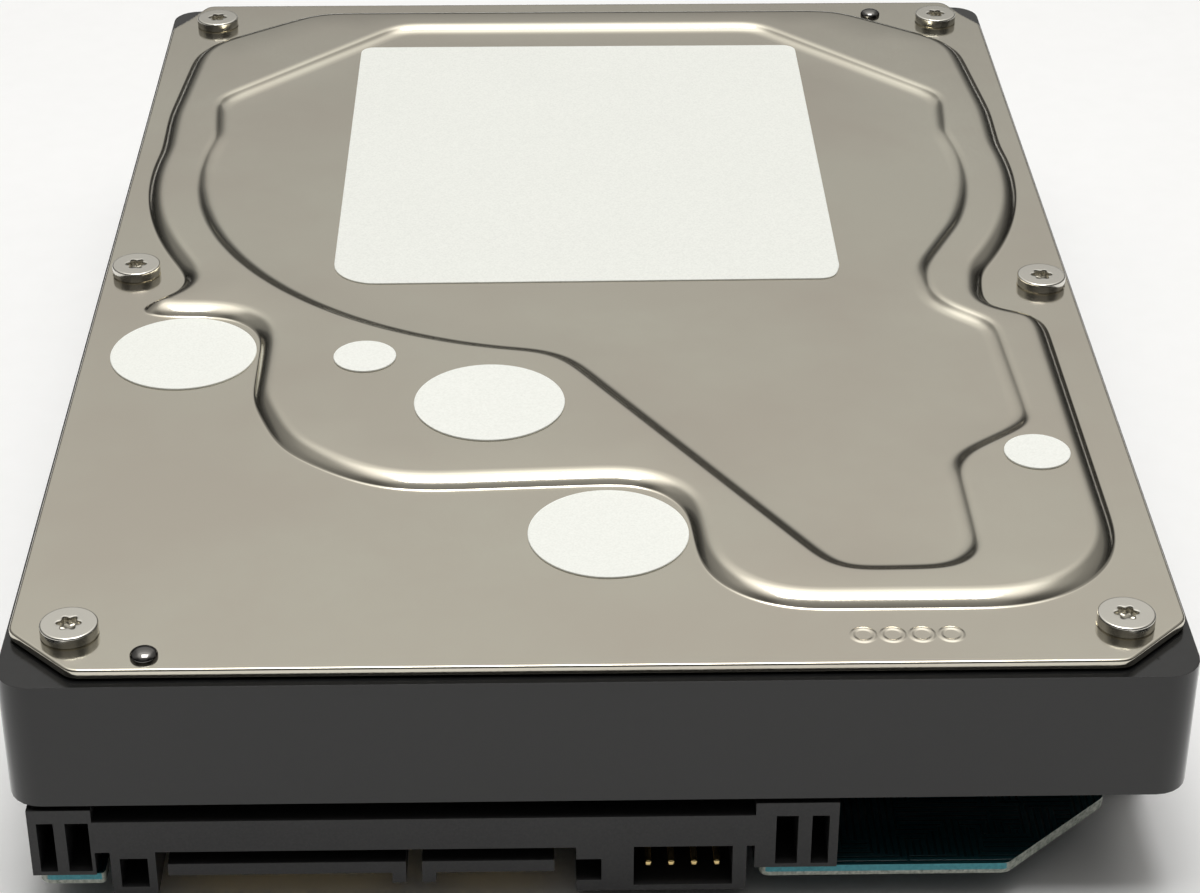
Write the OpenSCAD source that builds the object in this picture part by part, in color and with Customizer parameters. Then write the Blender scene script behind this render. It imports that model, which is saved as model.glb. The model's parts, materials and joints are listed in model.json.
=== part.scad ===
// 3.5-inch hard disk drive with a serial-ATA plug.
// Origin: middle of the mounting face. +X right and +Y back, as seen from the plug end; +Z up.

/* [Body] */
// Width over the side rails
body_w = 101.6; // [101.6:0.1:125]
// Length, plug end to back end
body_l = 147; // [147:0.5:180]
// Height, mounting face to the highest seal
body_h = 26.1; // [25:0.1:32]
// Side and back wall of the casting outside the disk bowl
wall = 2.5; // [2:0.1:4]
// Floor thickness of the casting
floor_t = 1.8; // [1.4:0.1:2.2]
// Width of a side rail
rail_w = 6.5; // [6:0.1:8]
// How far behind the plug end the rails begin
rail_setback = 14; // [10:0.5:20]
// How much further back the rails' lower part begins
rail_nose = 1.6; // [0:0.1:3]
// Underside of the front wall above the mounting face
front_wall_z = 11.4; // [11:0.1:12]
// Corner radius of the casting in plan
casting_corner_r = 3; // [1:0.5:5]

/* [Cover] */
// Sheet thickness of the cover
sheet = 0.85; // [0.6:0.05:1]
// How far the cover's edge lies inside the rails
cover_inset = 0.45; // [0.2:0.05:1]
// Rise of the plateau above the cover's flange
plateau_rise = 1.05; // [0.6:0.05:1.4]
// Depth of the label panel below the plateau
panel_depth = 0.75; // [0.3:0.05:1]
// Width of the ledge between the plateau's foot and the label panel beside the disks
ledge_w = 5.1; // [3:0.1:7]
// Thickness of the pressed gasket
gasket_t = 0.25; // [0.2:0.05:0.5]
// Thickness of the main label
label_t = 0.12; // [0.1:0.01:0.2]
// Thickness of the port seals
seal_t = 0.15; // [0.1:0.01:0.2]

/* [Screws and mounting holes] */
// Head diameter of a cover screw
cover_screw_head_d = 5; // [4.2:0.1:6.5]
// Head height of a cover screw
cover_screw_head_h = 1.1; // [0.8:0.05:1.1]
// Width across the lobes of its recess
cover_screw_recess_d = 1.8; // [1.4:0.05:2.2]
// Shank diameter of a cover screw
cover_screw_d = 2.4; // [2:0.1:3]
// Diameter of a dowel pin
dowel_d = 2.4; // [2:0.1:3]
// Wall diameter of a threaded mounting hole
mount_hole_d = 2.8; // [2.6:0.05:3.2]
// Depth of a mounting hole
mount_hole_depth = 4; // [3:0.1:4.5]
// Height of the side holes above the mounting face
side_hole_z = 6.35; // [6:0.05:6.6]
// Side holes, distance from the plug end
side_hole_from_plug = [28.5, 70.11, 130.1];
// Bottom holes, distance from the plug end
bottom_hole_from_plug = [41.28, 85.73, 117.48];
// Bottom holes, distance from the side of the casting
bottom_hole_inset = 3.175; // [3:0.005:3.3]

/* [Disks] */
// Platter diameter
platter_d = 95; // [70:1:95]
// Platter bore
platter_bore_d = 25; // [24:0.5:26]
// Platter thickness
platter_t = 1.27; // [0.8:0.01:1.3]
// Height of a spacer ring
spacer_t = 2.2; // [2:0.05:2.4]
// Gap between platter edge and casting
platter_gap = 0.8; // [0.5:0.1:2]
// Gap between the lowest platter and the bowl floor
platter_floor_gap = 3.5; // [3:0.1:4]
// Diameter of the spindle shaft
shaft_d = 4; // [3:0.1:5]
// Radial clearance of the running fits
running_fit = 0.03; // [0.01:0.01:0.1]

/* [Actuator] */
// Radius of the innermost track that the heads reach
inner_track_r = 23.3; // [22:0.1:28]
// Distance from pivot to read-write head
arm_reach = 44; // [42:0.5:45]
// Thickness of an arm
arm_t = 1; // [0.8:0.05:1.1]
// Diameter of the fixed pivot post
pivot_post_d = 5; // [4:0.1:6]
// Outer diameter of the pivot sleeve
pivot_sleeve_d = 11; // [9:0.1:14]
// Outer radius of the voice coil about the pivot
coil_r = 26; // [24:0.5:27]
// Thickness of the voice coil
coil_t = 2.2; // [1.8:0.1:2.4]
// Thickness of a magnet
magnet_t = 1.6; // [1.2:0.1:1.8]
// Thickness of a yoke plate
yoke_t = 1.8; // [1.4:0.1:2]

/* [Plug and circuit board] */
// Left end of the plug housing from the left side
plug_from_left = 7.1; // [7:0.1:9]
// Depth of the plug's open front
plug_depth = 4.5; // [4:0.1:5]
// Height of the tongue's underside
tongue_z = 3.73; // [3.6:0.01:3.9]
// Thickness of the tongues
tongue_t = 1.23; // [1.15:0.01:1.3]
// Contact pitch
contact_pitch = 1.27; // [1.2:0.01:1.3]
// Contact width
contact_w = 0.84; // [0.7:0.01:0.9]
// Jumper pin pitch
jumper_pitch = 2; // [1.9:0.01:2.1]
// Circuit board thickness
board_t = 1.1; // [0.8:0.1:1.2]
// Underside of the circuit board above the mounting face
board_z = 2.8; // [2.6:0.1:3]

/* [Hidden] */
$fn = 64;
eps = 0.01;
w2 = body_w / 2;
l2 = body_l / 2;
// heights
plateau_z = body_h - seal_t;
flange_z = plateau_z - plateau_rise;
flange_under = flange_z - sheet;
rim_z = flange_under - gasket_t;
panel_z = plateau_z - panel_depth;
panel_under = panel_z - sheet;
body_under = 8;
bay_floor = body_under + floor_t;
shelf_floor = front_wall_z + 1.6;
drum_under = 6.4;
bowl_floor = drum_under + floor_t + 0.3;
// disks
bowl_r = platter_d / 2 + platter_gap;
plateau_r = bowl_r + 0.1;
panel_r = plateau_r - ledge_w;
bowl_back_gap = 0.2;
spindle_y = l2 - wall - bowl_r - bowl_back_gap;
stack_z = bowl_floor + platter_floor_gap;
pitch_z = platter_t + spacer_t;
stack_top = stack_z + 3 * platter_t + 2 * spacer_t;
hub_r = platter_bore_d / 2 - 0.05;
clamp_r = hub_r + 3.2;
motor_hole_r = 14;
bracket_r = 17.6;
bracket_screw_r = 15.9;
clamp_screw_r = 9.5;
bracket_t = 1;
sleeve_r = shaft_d / 2 + 1.9;
boss_r = sleeve_r + 0.8;
stator_r = 9.9;
magnet_r = hub_r - 1.05;
// actuator
pivot = [18.5, spindle_y - 54.5];
to_spindle = [0, spindle_y] - pivot;
pivot_dist = norm(to_spindle);
park_r = platter_d / 2 + 1.5;
spindle_dir = atan2(to_spindle[1], to_spindle[0]);
// Angle at the pivot between the spindle and a head that is r from the spindle
function head_angle(r, reach) =
    acos((pow(pivot_dist, 2) + pow(reach, 2) - pow(r, 2)) / (2 * pivot_dist * reach));
park_dir = spindle_dir + head_angle(park_r, arm_reach);
swing = round(head_angle(park_r, arm_reach) - head_angle(inner_track_r, arm_reach));
coil_half = 17;
fork_half = 21;
coil_dir = park_dir - 180;
arm_gap = (spacer_t - arm_t) / 2;
arm_z = [for (i = [0:3]) stack_z - arm_gap - arm_t + i * pitch_z];
coil_z = stack_z + 4.9;
coil_gap = 0.3;
lower_magnet_z = coil_z - coil_gap - magnet_t;
upper_magnet_z = coil_z + coil_t + coil_gap;
yoke_in_r = 12.5;
yoke_out_r = 27.2;
// plug
plug_x = -w2 + plug_from_left;
plug_y = -l2;
plug_back = plug_y + plug_depth;
board_top = board_z + board_t;
board_cut = plug_y + 7;
board_right = w2 - rail_w - 0.8;
power_end = plug_x + 26.8;
signal_start = plug_x + 28.2;
jumper_x = plug_x + 47.89;
plug_w = 57.2;
bar_under = 6.3;
bar_top = 9.6;
end_top = 10.9;
key_under = 2.65;
arm_under = 1.5;
jumper_z = 3.95;
contact_t = 0.15;

// Cover screws: front, middle and back pairs, left then right
screw_at = [
    [-w2 + 5.8, -l2 + 6.4], [w2 - 5.8, -l2 + 6.4],
    [-w2 + 3.7, spindle_y - 23.2], [w2 - 3.5, spindle_y - 27.1],
    [-w2 + 5.95, l2 - 7.2], [w2 - 5.95, l2 - 7.2]
];
dowel_at = [[-w2 + 12.5, -l2 + 2.9], [w2 - 13.9, l2 - 5.1]];
// Port seals: centre and height of the face they stick to
large_seal_at = [
    [-w2 + 10.4, spindle_y - 40.8, flange_z],
    [-9.8, spindle_y - 52.8, plateau_z],
    [1.1, -l2 + 21.3, flange_z]
];
large_seal_r = 7.25;
small_seal_at = [[-22.2, spindle_y - 43.6, plateau_z], [w2 - 9.4, -l2 + 33.1, plateau_z]];
small_seal_r = 3.1;
board_screw_at = [
    [-w2 + 11, -l2 + 20], [w2 - 11, -l2 + 24], [-w2 + 11, -l2 + 58], [w2 - 14, -l2 + 54]
];

// ---------- outlines ----------

// Points of an arc about c from angle a0 to a1
function arc(c, r, a0, a1, n = 12) =
    [for (i = [0:n]) let (a = a0 + (a1 - a0) * i / n) c + r * [cos(a), sin(a)]];

// Unit vector of v
function unit(v) = v / norm(v);

// One corner p between a and b, rounded with radius r and limited by its sides
function corner(a, p, b, r) =
    let (u = unit(a - p), v = unit(b - p), half = acos(max(-1, min(1, u * v))) / 2)
    r == 0 || half > 89 ? [p] :
    let (
        t = min(r / tan(half), 0.49 * norm(a - p), 0.49 * norm(b - p)),
        q = t * tan(half),
        c = p + unit(u + v) * q / sin(half),
        s = p + t * u - c,
        e = p + t * v - c,
        a0 = atan2(s[1], s[0]),
        da = (atan2(e[1], e[0]) - a0 + 540) % 360 - 180,
        n = max(2, ceil(abs(da) / 15))
    )
    arc(c, q, a0, a0 + da, n);

// Outline from corners given as [x, y, radius]
function rounded(p) =
    let (n = len(p))
    [for (i = [0:n - 1])
        let (a = p[(i + n - 1) % n], m = p[i], b = p[(i + 1) % n])
        each corner([a[0], a[1]], [m[0], m[1]], [b[0], b[1]], m[2])];

// Arc points as plain corners for rounded()
function arc_corners(c, r, a0, a1, n = 12) = [for (q = arc(c, r, a0, a1, n)) [q[0], q[1], 0]];

// Anticlockwise outline moved inward by d along its normals
function inset(p, d) =
    let (n = len(p))
    [for (i = [0:n - 1])
        let (t = unit(p[(i + 1) % n] - p[(i + n - 1) % n]))
        p[i] + d * [-t[1], t[0]]];

// Sector about a centre, from r0 to r1 and half an angle to each side of dir
function sector(c, r0, r1, dir, half) =
    concat(arc(c, r1, dir - half, dir + half, 10), arc(c, r0, dir + half, dir - half, 6));

spindle = [0, spindle_y];

// Corners of the actuator bay: right side, front to back
bay_right = [
    [9.3, -l2 + 8.6, 10], [w2 - 3.9, -l2 + 8.6, 13],
    [w2 - 4.2, spindle_y - 33.6, 3.5], [w2 - 10.2, spindle_y - 33.2, 4]
];
// Left side, back to front
bay_left = [
    [-w2 + 9.8, spindle_y - 26.5, 4], [-w2 + 3.6, spindle_y - 32, 2.5],
    [-w2 + 7, spindle_y - 33.3, 4], [-33, spindle_y - 33.6, 6],
    [-33, spindle_y - 50.5, 10], [-29.6, spindle_y - 60, 12],
    [-20, spindle_y - 67.7, 14], [7.9, spindle_y - 66.4, 6]
];

// Foot of the raised plateau: square towards the back corners
plateau_outline = rounded(concat(
    bay_right,
    arc_corners(spindle, plateau_r, -31, 8, 8),
    [
        [w2 - 2.7, spindle_y + 16, 20], [w2 - 4.2, l2 - 15, 8], [w2 - 18, l2 - 4.3, 8],
        [-w2 + 18, l2 - 4.3, 8], [-w2 + 4.2, l2 - 15, 8], [-w2 + 2.7, spindle_y + 16, 20]
    ],
    arc_corners(spindle, plateau_r, 172, 207, 8),
    bay_left));

// Line of the gasket: round the disk bowl and the actuator bay
seal_outline = rounded(concat(bay_right, arc_corners(spindle, plateau_r, -31, 207, 40), bay_left));

// Edge of the recessed label panel
panel_outline = rounded(concat(
    [
        [20.5, -l2 + 13.2, 5], [w2 - 16.2, -l2 + 13.4, 5],
        [w2 - 16.3, -l2 + 32.4, 4], [w2 - 8.4, -l2 + 38.6, 4],
        [w2 - 9.1, spindle_y - 36.8, 3.5], [w2 - 14.9, spindle_y - 31.5, 5],
        [w2 - 14.7, spindle_y - 24.6, 6]
    ],
    arc_corners(spindle, panel_r, -20, 12, 7),
    [
        [w2 - 7.6, spindle_y + 19.5, 4], [w2 - 28.3, l2 - 9.3, 4],
        [-w2 + 28.3, l2 - 9.3, 4], [-w2 + 7.6, spindle_y + 19.5, 4]
    ],
    arc_corners(spindle, panel_r, 168, 258, 15),
    [[-3.6, spindle_y - 43.2, 8]]));

// Cover sheet
cover_w2 = w2 - cover_inset;
cover_l2 = l2 - 0.9;
cover_outline = rounded([
    [cover_w2 - 5.9, -cover_l2, 1.5], [cover_w2, -cover_l2 + 6, 1.5],
    [cover_w2, cover_l2 - 7.2, 1], [cover_w2 - 1.8, cover_l2 - 4.2, 1.5],
    [cover_w2 - 3.7, cover_l2, 1.2], [-cover_w2 + 3.7, cover_l2, 1.2],
    [-cover_w2 + 1.8, cover_l2 - 4.2, 1.5], [-cover_w2, cover_l2 - 7.2, 1],
    [-cover_w2, -cover_l2 + 6, 1.5], [-cover_w2 + 5.9, -cover_l2, 1.5]
]);

casting_outline = rounded([
    [w2, -l2, casting_corner_r], [w2, l2, casting_corner_r],
    [-w2, l2, casting_corner_r], [-w2, -l2, casting_corner_r]
]);

label_half = panel_r - 16.8;
label_front = spindle_y - panel_r + 17;
label_back = l2 - 15.5;
label_outline = rounded([
    [label_half - 0.6, label_front, 2.5], [label_half + 0.1, label_front + 2.8, 2],
    [label_half, label_back, 1.5], [-label_half, label_back, 1.5],
    [-label_half, label_front - 0.5, 4.5]
]);

// Circuit board, with the cut-out for the plug and a bay for the motor
board_outline = rounded([
    [plug_x + plug_w + 0.4, plug_y + 0.2, 0.8], [w2 - 15.2, plug_y + 0.2, 1.2],
    [w2 - 5.2, -l2 + 9.4, 1.2], [w2 - 5.2, -l2 + 12, 1],
    [board_right, -l2 + 13.2, 1], [board_right, spindle_y - 36, 3],
    [20, spindle_y - 22, 4], [-14, spindle_y - 22, 6], [-24, spindle_y - 11, 4],
    [-board_right, spindle_y - 11, 2], [-board_right, -l2 + 13.2, 1],
    [-w2 + 2, -l2 + 12, 1], [-w2 + 2, plug_y + 0.2, 1.2],
    [plug_x + 0.7, plug_y + 0.2, 0.5], [plug_x + 0.7, board_cut, 0.5],
    [plug_x + plug_w + 0.4, board_cut, 0.5]
]);

// ---------- small helpers ----------

// Plate of an outline from z0 to z1
module plate(outline, z0, z1) {
    translate([0, 0, z0]) linear_extrude(z1 - z0) polygon(outline);
}

// Cylinder at a plan point from z0 to z1
module post(at, r, z0, z1) {
    translate([at[0], at[1], z0]) cylinder(h = z1 - z0, r = r);
}

// Ring at a plan point
module ring(at, r0, r1, z0, z1) {
    difference() {
        post(at, r1, z0, z1);
        post(at, r0, z0 - 1, z1 + 1);
    }
}

// Box from its low corner to its high corner
module block(a, b) {
    translate(a) cube(b - a);
}

// Six-lobed drive recess
module lobed_recess(at, r, z0, z1) {
    post(at, r * 0.72, z0, z1);
    for (i = [0:5])
        post([at[0], at[1]] + r * 0.78 * [cos(60 * i), sin(60 * i)], r * 0.22, z0, z1);
}

// Flat-headed screw with a lobed recess, hanging down from under its head
module screw(at, head_r, head_h, shank_r, under_z, tip_z, recess_r) {
    difference() {
        union() {
            post(at, head_r, under_z, under_z + head_h);
            post(at, shank_r, tip_z, under_z);
        }
        lobed_recess(at, recess_r, under_z + head_h * 0.35, under_z + head_h + 1);
    }
}

// ---------- casting and cover ----------

module rail_blank(side) {
    x0 = side > 0 ? w2 - rail_w : -w2;
    block([x0, -l2 + rail_setback + rail_nose, 0], [x0 + rail_w, l2, body_under]);
}

module casting_mass() {
    // upper tub
    plate(casting_outline, front_wall_z, rim_z);
    // deeper tub behind the plug, its corners rounded at the back only
    intersection() {
        plate(casting_outline, 0, front_wall_z);
        union() {
            block([-w2, -l2 + rail_setback, body_under], [w2, l2, front_wall_z]);
            rail_blank(-1);
            rail_blank(1);
            block([-w2, l2 - 7.5, 3], [w2, l2, body_under]);
        }
    }
    // drum under the disk bowl
    post(spindle, bowl_r + wall - 0.1, drum_under, body_under);
    for (p = board_screw_at) post(p, 2.6, board_top, body_under);
}

module base_casting() {
    color([0.16, 0.16, 0.17])
    difference() {
        casting_mass();
        // room for the actuator
        intersection() {
            plate(inset(seal_outline, 0.5), bay_floor, rim_z + 1);
            union() {
                block([-w2, -l2 + rail_setback + 2, bay_floor], [w2, l2, rim_z + 1]);
                block([-w2, -l2, shelf_floor], [w2, l2, rim_z + 1]);
            }
        }
        // disk bowl
        post(spindle, bowl_r, bowl_floor, rim_z + 1);
        // spindle motor seat
        post(spindle, motor_hole_r, 0, bowl_floor + 1);
        for (a = [30, 150, 270])
            post(spindle + bracket_screw_r * [cos(a), sin(a)], 0.8, drum_under - 1, drum_under + 2);
        // pivot, yoke and latch seats
        post(pivot, 1.6, bay_floor - 1.4, bay_floor + 1);
        for (s = screw_at) post(s, cover_screw_d / 2 + 0.05, rim_z - 8, rim_z + 1);
        for (s = dowel_at) post(s, dowel_d / 2, rim_z - 4, rim_z + 1);
        for (s = board_screw_at) post(s, 1, board_top - 1, body_under + 0.8);
        // flexible circuit passage
        block(concat(flex_at - [5, 2], [0]), concat(flex_at + [5, 2], [bay_floor + 1]));
        // mounting holes
        for (d = side_hole_from_plug, side = [-1, 1])
            translate([side * (w2 - mount_hole_depth / 2 + 0.5), d - l2, side_hole_z])
            rotate([0, 90, 0])
            cylinder(h = mount_hole_depth + 1, d = mount_hole_d, center = true);
        for (d = bottom_hole_from_plug, side = [-1, 1])
            translate([side * (w2 - bottom_hole_inset), d - l2, -1])
            cylinder(h = mount_hole_depth + 1, d = mount_hole_d);
    }
}

module top_cover() {
    color([0.66, 0.64, 0.58])
    difference() {
        union() {
            plate(cover_outline, flange_under, flange_z);
            plate(plateau_outline, flange_under, plateau_z);
        }
        // underside of the plateau, stepping round the underside of the panel
        difference() {
            plate(inset(plateau_outline, sheet), flange_under - 1, plateau_z - sheet);
            plate(inset(panel_outline, -sheet), panel_under, plateau_z);
        }
        // label panel
        plate(panel_outline, panel_z, plateau_z + 1);
        for (s = screw_at) post(s, cover_screw_d / 2 + 0.15, flange_under - 1, flange_z + 1);
        for (s = dowel_at) post(s, dowel_d / 2, flange_under - 1, flange_z + 1);
        for (s = large_seal_at) post(s, 3, flange_under - 1, plateau_z + 1);
        for (s = small_seal_at) post(s, 1.2, flange_under - 1, plateau_z + 1);
    }
}

module cover_gasket() {
    color([0.1, 0.1, 0.1])
    difference() {
        plate(inset(seal_outline, -1.5), rim_z, flange_under);
        plate(inset(seal_outline, -0.4), rim_z - 1, flange_under + 1);
    }
}

module cover_screws() {
    color([0.75, 0.74, 0.7])
    for (s = screw_at)
        screw(s, cover_screw_head_d / 2, cover_screw_head_h, cover_screw_d / 2,
            flange_z, rim_z - 7, cover_screw_recess_d / 2);
}

module cover_dowel_pins() {
    color([0.8, 0.8, 0.78])
    for (s = dowel_at)
        translate([s[0], s[1], rim_z - 4])
        rotate_extrude()
        polygon(concat(
            [[0, 0], [dowel_d / 2, 0], [dowel_d / 2, flange_z - rim_z + 4.15]],
            [for (a = [15:15:90]) [dowel_d / 2 * cos(a), flange_z - rim_z + 4.15 + 0.6 * sin(a)]]));
}

module main_label() {
    color([0.94, 0.94, 0.92]) plate(label_outline, panel_z, panel_z + label_t);
}

module large_port_seals() {
    color([0.96, 0.96, 0.95])
    for (s = large_seal_at) post(s, large_seal_r, s[2], s[2] + seal_t);
}

module small_port_seals() {
    color([0.96, 0.96, 0.95])
    for (s = small_seal_at) post(s, small_seal_r, s[2], s[2] + seal_t);
}

// ---------- plug and circuit board ----------

// Row of contacts: a strip under the tongue, a riser in the back wall and a tail on the board
module contact_row(x0, count) {
    for (i = [0:count - 1])
        translate([x0 + i * contact_pitch - contact_w / 2, 0, 0])
        rotate([90, 0, 90])
        linear_extrude(contact_w)
        polygon([
            [plug_y + 0.6, tongue_z - contact_t], [plug_back + 1.2, tongue_z - contact_t],
            [plug_back + 1.2, board_top], [board_cut + 6.2, board_top],
            [board_cut + 6.2, board_top + contact_t],
            [plug_back + 1.2 - contact_t, board_top + contact_t],
            [plug_back + 1.2 - contact_t, tongue_z], [plug_y + 0.6, tongue_z]
        ]);
}

module power_contact_row() { contact_row(plug_x + 7.5, 15); }

module signal_contact_row() { contact_row(signal_start + 2.2, 7); }

// Square posts of the jumper block
module jumper_row() {
    for (i = [0:3])
        block([jumper_x + i * jumper_pitch - 0.3, plug_y + 0.6, jumper_z - 0.3],
            [jumper_x + i * jumper_pitch + 0.3, plug_back + 1.5, jumper_z + 0.3]);
}

// One end block with its two latch slots
module end_block(x0, x1, slots) {
    difference() {
        block([x0, plug_y, board_top], [x1, board_cut + 0.6, end_top]);
        for (s = slots) block([s[0], plug_y - 1, 4.3], [s[1], board_cut - 1, 9.5]);
    }
}

module plug_body() {
    // top bar, back wall and the foot on the board
    block([plug_x, plug_y, bar_under], [plug_x + plug_w, board_cut, bar_top]);
    block([plug_x + 1, plug_back, 3], [plug_x + plug_w, board_cut - 0.1, bar_under + 0.1]);
    block([plug_x, board_cut - 0.1, board_top], [plug_x + plug_w, board_cut + 5.5, 7.9]);
    end_block(plug_x - 5.5, plug_x + 0.01,
        [[plug_x - 4.75, plug_x - 3.3], [plug_x - 2.3, plug_x - 0.3]]);
    end_block(plug_x + plug_w - 0.1, plug_x + 64.3,
        [[plug_x + 58.9, plug_x + 60.8], [plug_x + 62, plug_x + 63.5]]);
    // left guide arm with its pocket
    difference() {
        block([plug_x + 1.3, plug_y, 1.65], [plug_x + 5.2, plug_back + 1, bar_under + 0.05]);
        block([plug_x + 2.1, plug_y - 1, 2.5], [plug_x + 4.5, plug_back - 0.4, 5.6]);
    }
    // power tongue and signal tongue, each with its key
    block([plug_x + 6.2, plug_y, tongue_z], [power_end, plug_back + 1, tongue_z + tongue_t]);
    block([power_end - 1.2, plug_y, key_under], [power_end, plug_back + 1, tongue_z + eps]);
    block([signal_start, plug_y, tongue_z],
        [signal_start + 11.5, plug_back + 1, tongue_z + tongue_t]);
    block([signal_start, plug_y, key_under], [signal_start + 1.2, plug_back + 1, tongue_z + eps]);
    // right guide arm with its side pocket
    difference() {
        block([plug_x + 41.6, plug_y, arm_under], [plug_x + 46.6, plug_back + 1, bar_under + 0.05]);
        block([plug_x + 41, plug_y - 1, 2.7], [plug_x + 43.8, plug_back - 0.4, 5]);
    }
    // floor and right wall of the jumper cavity
    block([plug_x + 46.5, plug_y, arm_under], [plug_x + 56.4, plug_back + 1, arm_under + 0.6]);
    block([plug_x + 55.2, plug_y, arm_under], [plug_x + 56.4, plug_back + 1, bar_under + 0.05]);
}

module plug_housing() {
    color([0.07, 0.07, 0.08])
    difference() {
        plug_body();
        power_contact_row();
        signal_contact_row();
        jumper_row();
    }
}

module power_contacts() { color([0.85, 0.7, 0.4]) power_contact_row(); }

module signal_contacts() { color([0.85, 0.7, 0.4]) signal_contact_row(); }

module jumper_pins() { color([0.82, 0.74, 0.55]) jumper_row(); }

module circuit_board() {
    color([0.08, 0.32, 0.34])
    difference() {
        plate(board_outline, board_z, board_top);
        for (s = board_screw_at) post(s, 1.5, board_z - 1, board_top + 1);
    }
}

module board_screws() {
    color([0.7, 0.7, 0.68])
    for (s = board_screw_at)
        translate([0, 0, 2 * board_z]) mirror([0, 0, 1])
        screw(s, 2.5, 0.8, 0.95, board_z, board_z - 5.2, 1);
}

// Package of a chip standing on the board
module chip(at, sx, sy, h) {
    block([at[0] - sx / 2, at[1] - sy / 2, board_top], [at[0] + sx / 2, at[1] + sy / 2, board_top + h]);
}

module controller_chip() { color([0.1, 0.1, 0.1]) chip([7, -l2 + 34], 20, 20, 1.4); }

module cache_chip() { color([0.1, 0.1, 0.1]) chip([-20, -l2 + 30], 11, 8, 1.1); }

module motor_driver_chip() { color([0.1, 0.1, 0.1]) chip([-20, -l2 + 46], 10, 10, 1.2); }

module board_capacitors() {
    color([0.72, 0.6, 0.35])
    for (i = [0:5]) {
        chip([22 + 2.6 * i, -l2 + 21], 1.3, 2.2, 1.2);
        chip([-34 + 4 * i, -l2 + 38.5], 2.4, 1.3, 1);
    }
}

module motor_connector() {
    color([0.9, 0.88, 0.8])
    chip([-6, spindle_y - 25], 11, 4, drum_under - board_top - 0.1);
}

module head_connector() {
    color([0.12, 0.12, 0.12])
    chip(flex_at, 8, 3, body_under - board_top - 0.4);
}

module board_foam() {
    color([0.2, 0.2, 0.22])
    difference() {
        block([-w2 + 16, -l2 + 24, 5.8], [w2 - 16, spindle_y - bowl_r - wall - 0.8, 7.8]);
        block(concat(flex_at - [6, 3], [0]), concat(flex_at + [6, 3], [20]));
        for (s = board_screw_at) post(s, 3.4, 5, 8);
    }
}

// ---------- spindle motor ----------

module motor_bracket() {
    color([0.62, 0.62, 0.63])
    difference() {
        union() {
            post(spindle, bracket_r, drum_under - bracket_t, drum_under);
            post(spindle, motor_hole_r - 0.05, drum_under, drum_under + 1.6);
            post(spindle, boss_r, drum_under, drum_under + 7.5);
        }
        post(spindle, sleeve_r, drum_under - 0.2, drum_under + 9);
        for (a = [30, 150, 270])
            post(spindle + bracket_screw_r * [cos(a), sin(a)], 0.95, drum_under - 2, drum_under + 0.5);
    }
}

module bracket_screws() {
    color([0.7, 0.7, 0.68])
    for (a = [30, 150, 270]) {
        at = spindle + bracket_screw_r * [cos(a), sin(a)];
        translate([0, 0, 2 * (drum_under - bracket_t)]) mirror([0, 0, 1])
        screw(at, 1.6, 0.6, 0.75, drum_under - bracket_t, drum_under - bracket_t - 2.6, 0.7);
    }
}

module bearing_sleeve() {
    color([0.72, 0.6, 0.35])
    ring(spindle, shaft_d / 2 + running_fit, sleeve_r, drum_under + 0.2, drum_under + 8.2);
}

stator_z = drum_under + 3;
stator_h = 3;
pole_count = 9;
pole_w = 1.4;
pole_step = 360 / pole_count;

module stator_core() {
    color([0.5, 0.5, 0.53])
    difference() {
        union() {
            ring(spindle, boss_r, boss_r + 1.4, stator_z, stator_z + stator_h);
            for (i = [0:pole_count - 1])
                translate([0, spindle_y, stator_z]) rotate([0, 0, pole_step * i])
                translate([boss_r + 1, -pole_w / 2, 0])
                cube([stator_r - boss_r - 1.8, pole_w, stator_h]);
            intersection() {
                ring(spindle, stator_r - 0.9, stator_r, stator_z, stator_z + stator_h);
                for (i = [0:pole_count - 1])
                    plate(sector(spindle, 2, stator_r + 2, pole_step * i, 17),
                        stator_z, stator_z + stator_h);
            }
        }
        post(spindle, boss_r, 0, 20);
    }
}

module stator_coils() {
    winding_w = pole_w + 1.3;
    color([0.75, 0.42, 0.2])
    for (i = [0:pole_count - 1])
        translate([0, spindle_y, stator_z]) rotate([0, 0, pole_step * i])
        difference() {
            translate([boss_r + 1.7, -winding_w / 2, -0.6]) cube([2.2, winding_w, stator_h + 1.2]);
            translate([boss_r, -pole_w / 2, 0]) cube([6, pole_w, stator_h]);
        }
}

hub_under = stack_z - 1.4;

module spindle_shaft() {
    color([0.8, 0.8, 0.82]) post(spindle, shaft_d / 2, drum_under + 0.5, stack_top - 1.4);
}

module rotor_hub() {
    color([0.72, 0.73, 0.75])
    difference() {
        union() {
            post(spindle, hub_r, stator_z + 0.2, stack_top - 0.3);
            post(spindle, clamp_r, hub_under, stack_z);
        }
        post(spindle, magnet_r, stator_z - 1, stack_z + 3.5);
        post(spindle, shaft_d / 2, 0, stack_top - 1.4);
        for (i = [0:5])
            post(spindle + clamp_screw_r * [cos(60 * i), sin(60 * i)], 0.8, stack_top - 4, stack_top + 1);
    }
}

module rotor_magnet() {
    color([0.3, 0.3, 0.32]) ring(spindle, stator_r + 0.35, magnet_r, stator_z, stator_z + 4.5);
}

module platter(i) {
    color([0.82, 0.82, 0.84])
    ring(spindle, platter_bore_d / 2, platter_d / 2,
        stack_z + i * pitch_z, stack_z + i * pitch_z + platter_t);
}

module platter_lower() { platter(0); }

module platter_middle() { platter(1); }

module platter_upper() { platter(2); }

module disk_spacers() {
    color([0.7, 0.7, 0.72])
    for (i = [0:1])
        ring(spindle, platter_bore_d / 2, clamp_r,
            stack_z + i * pitch_z + platter_t, stack_z + (i + 1) * pitch_z);
}

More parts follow.
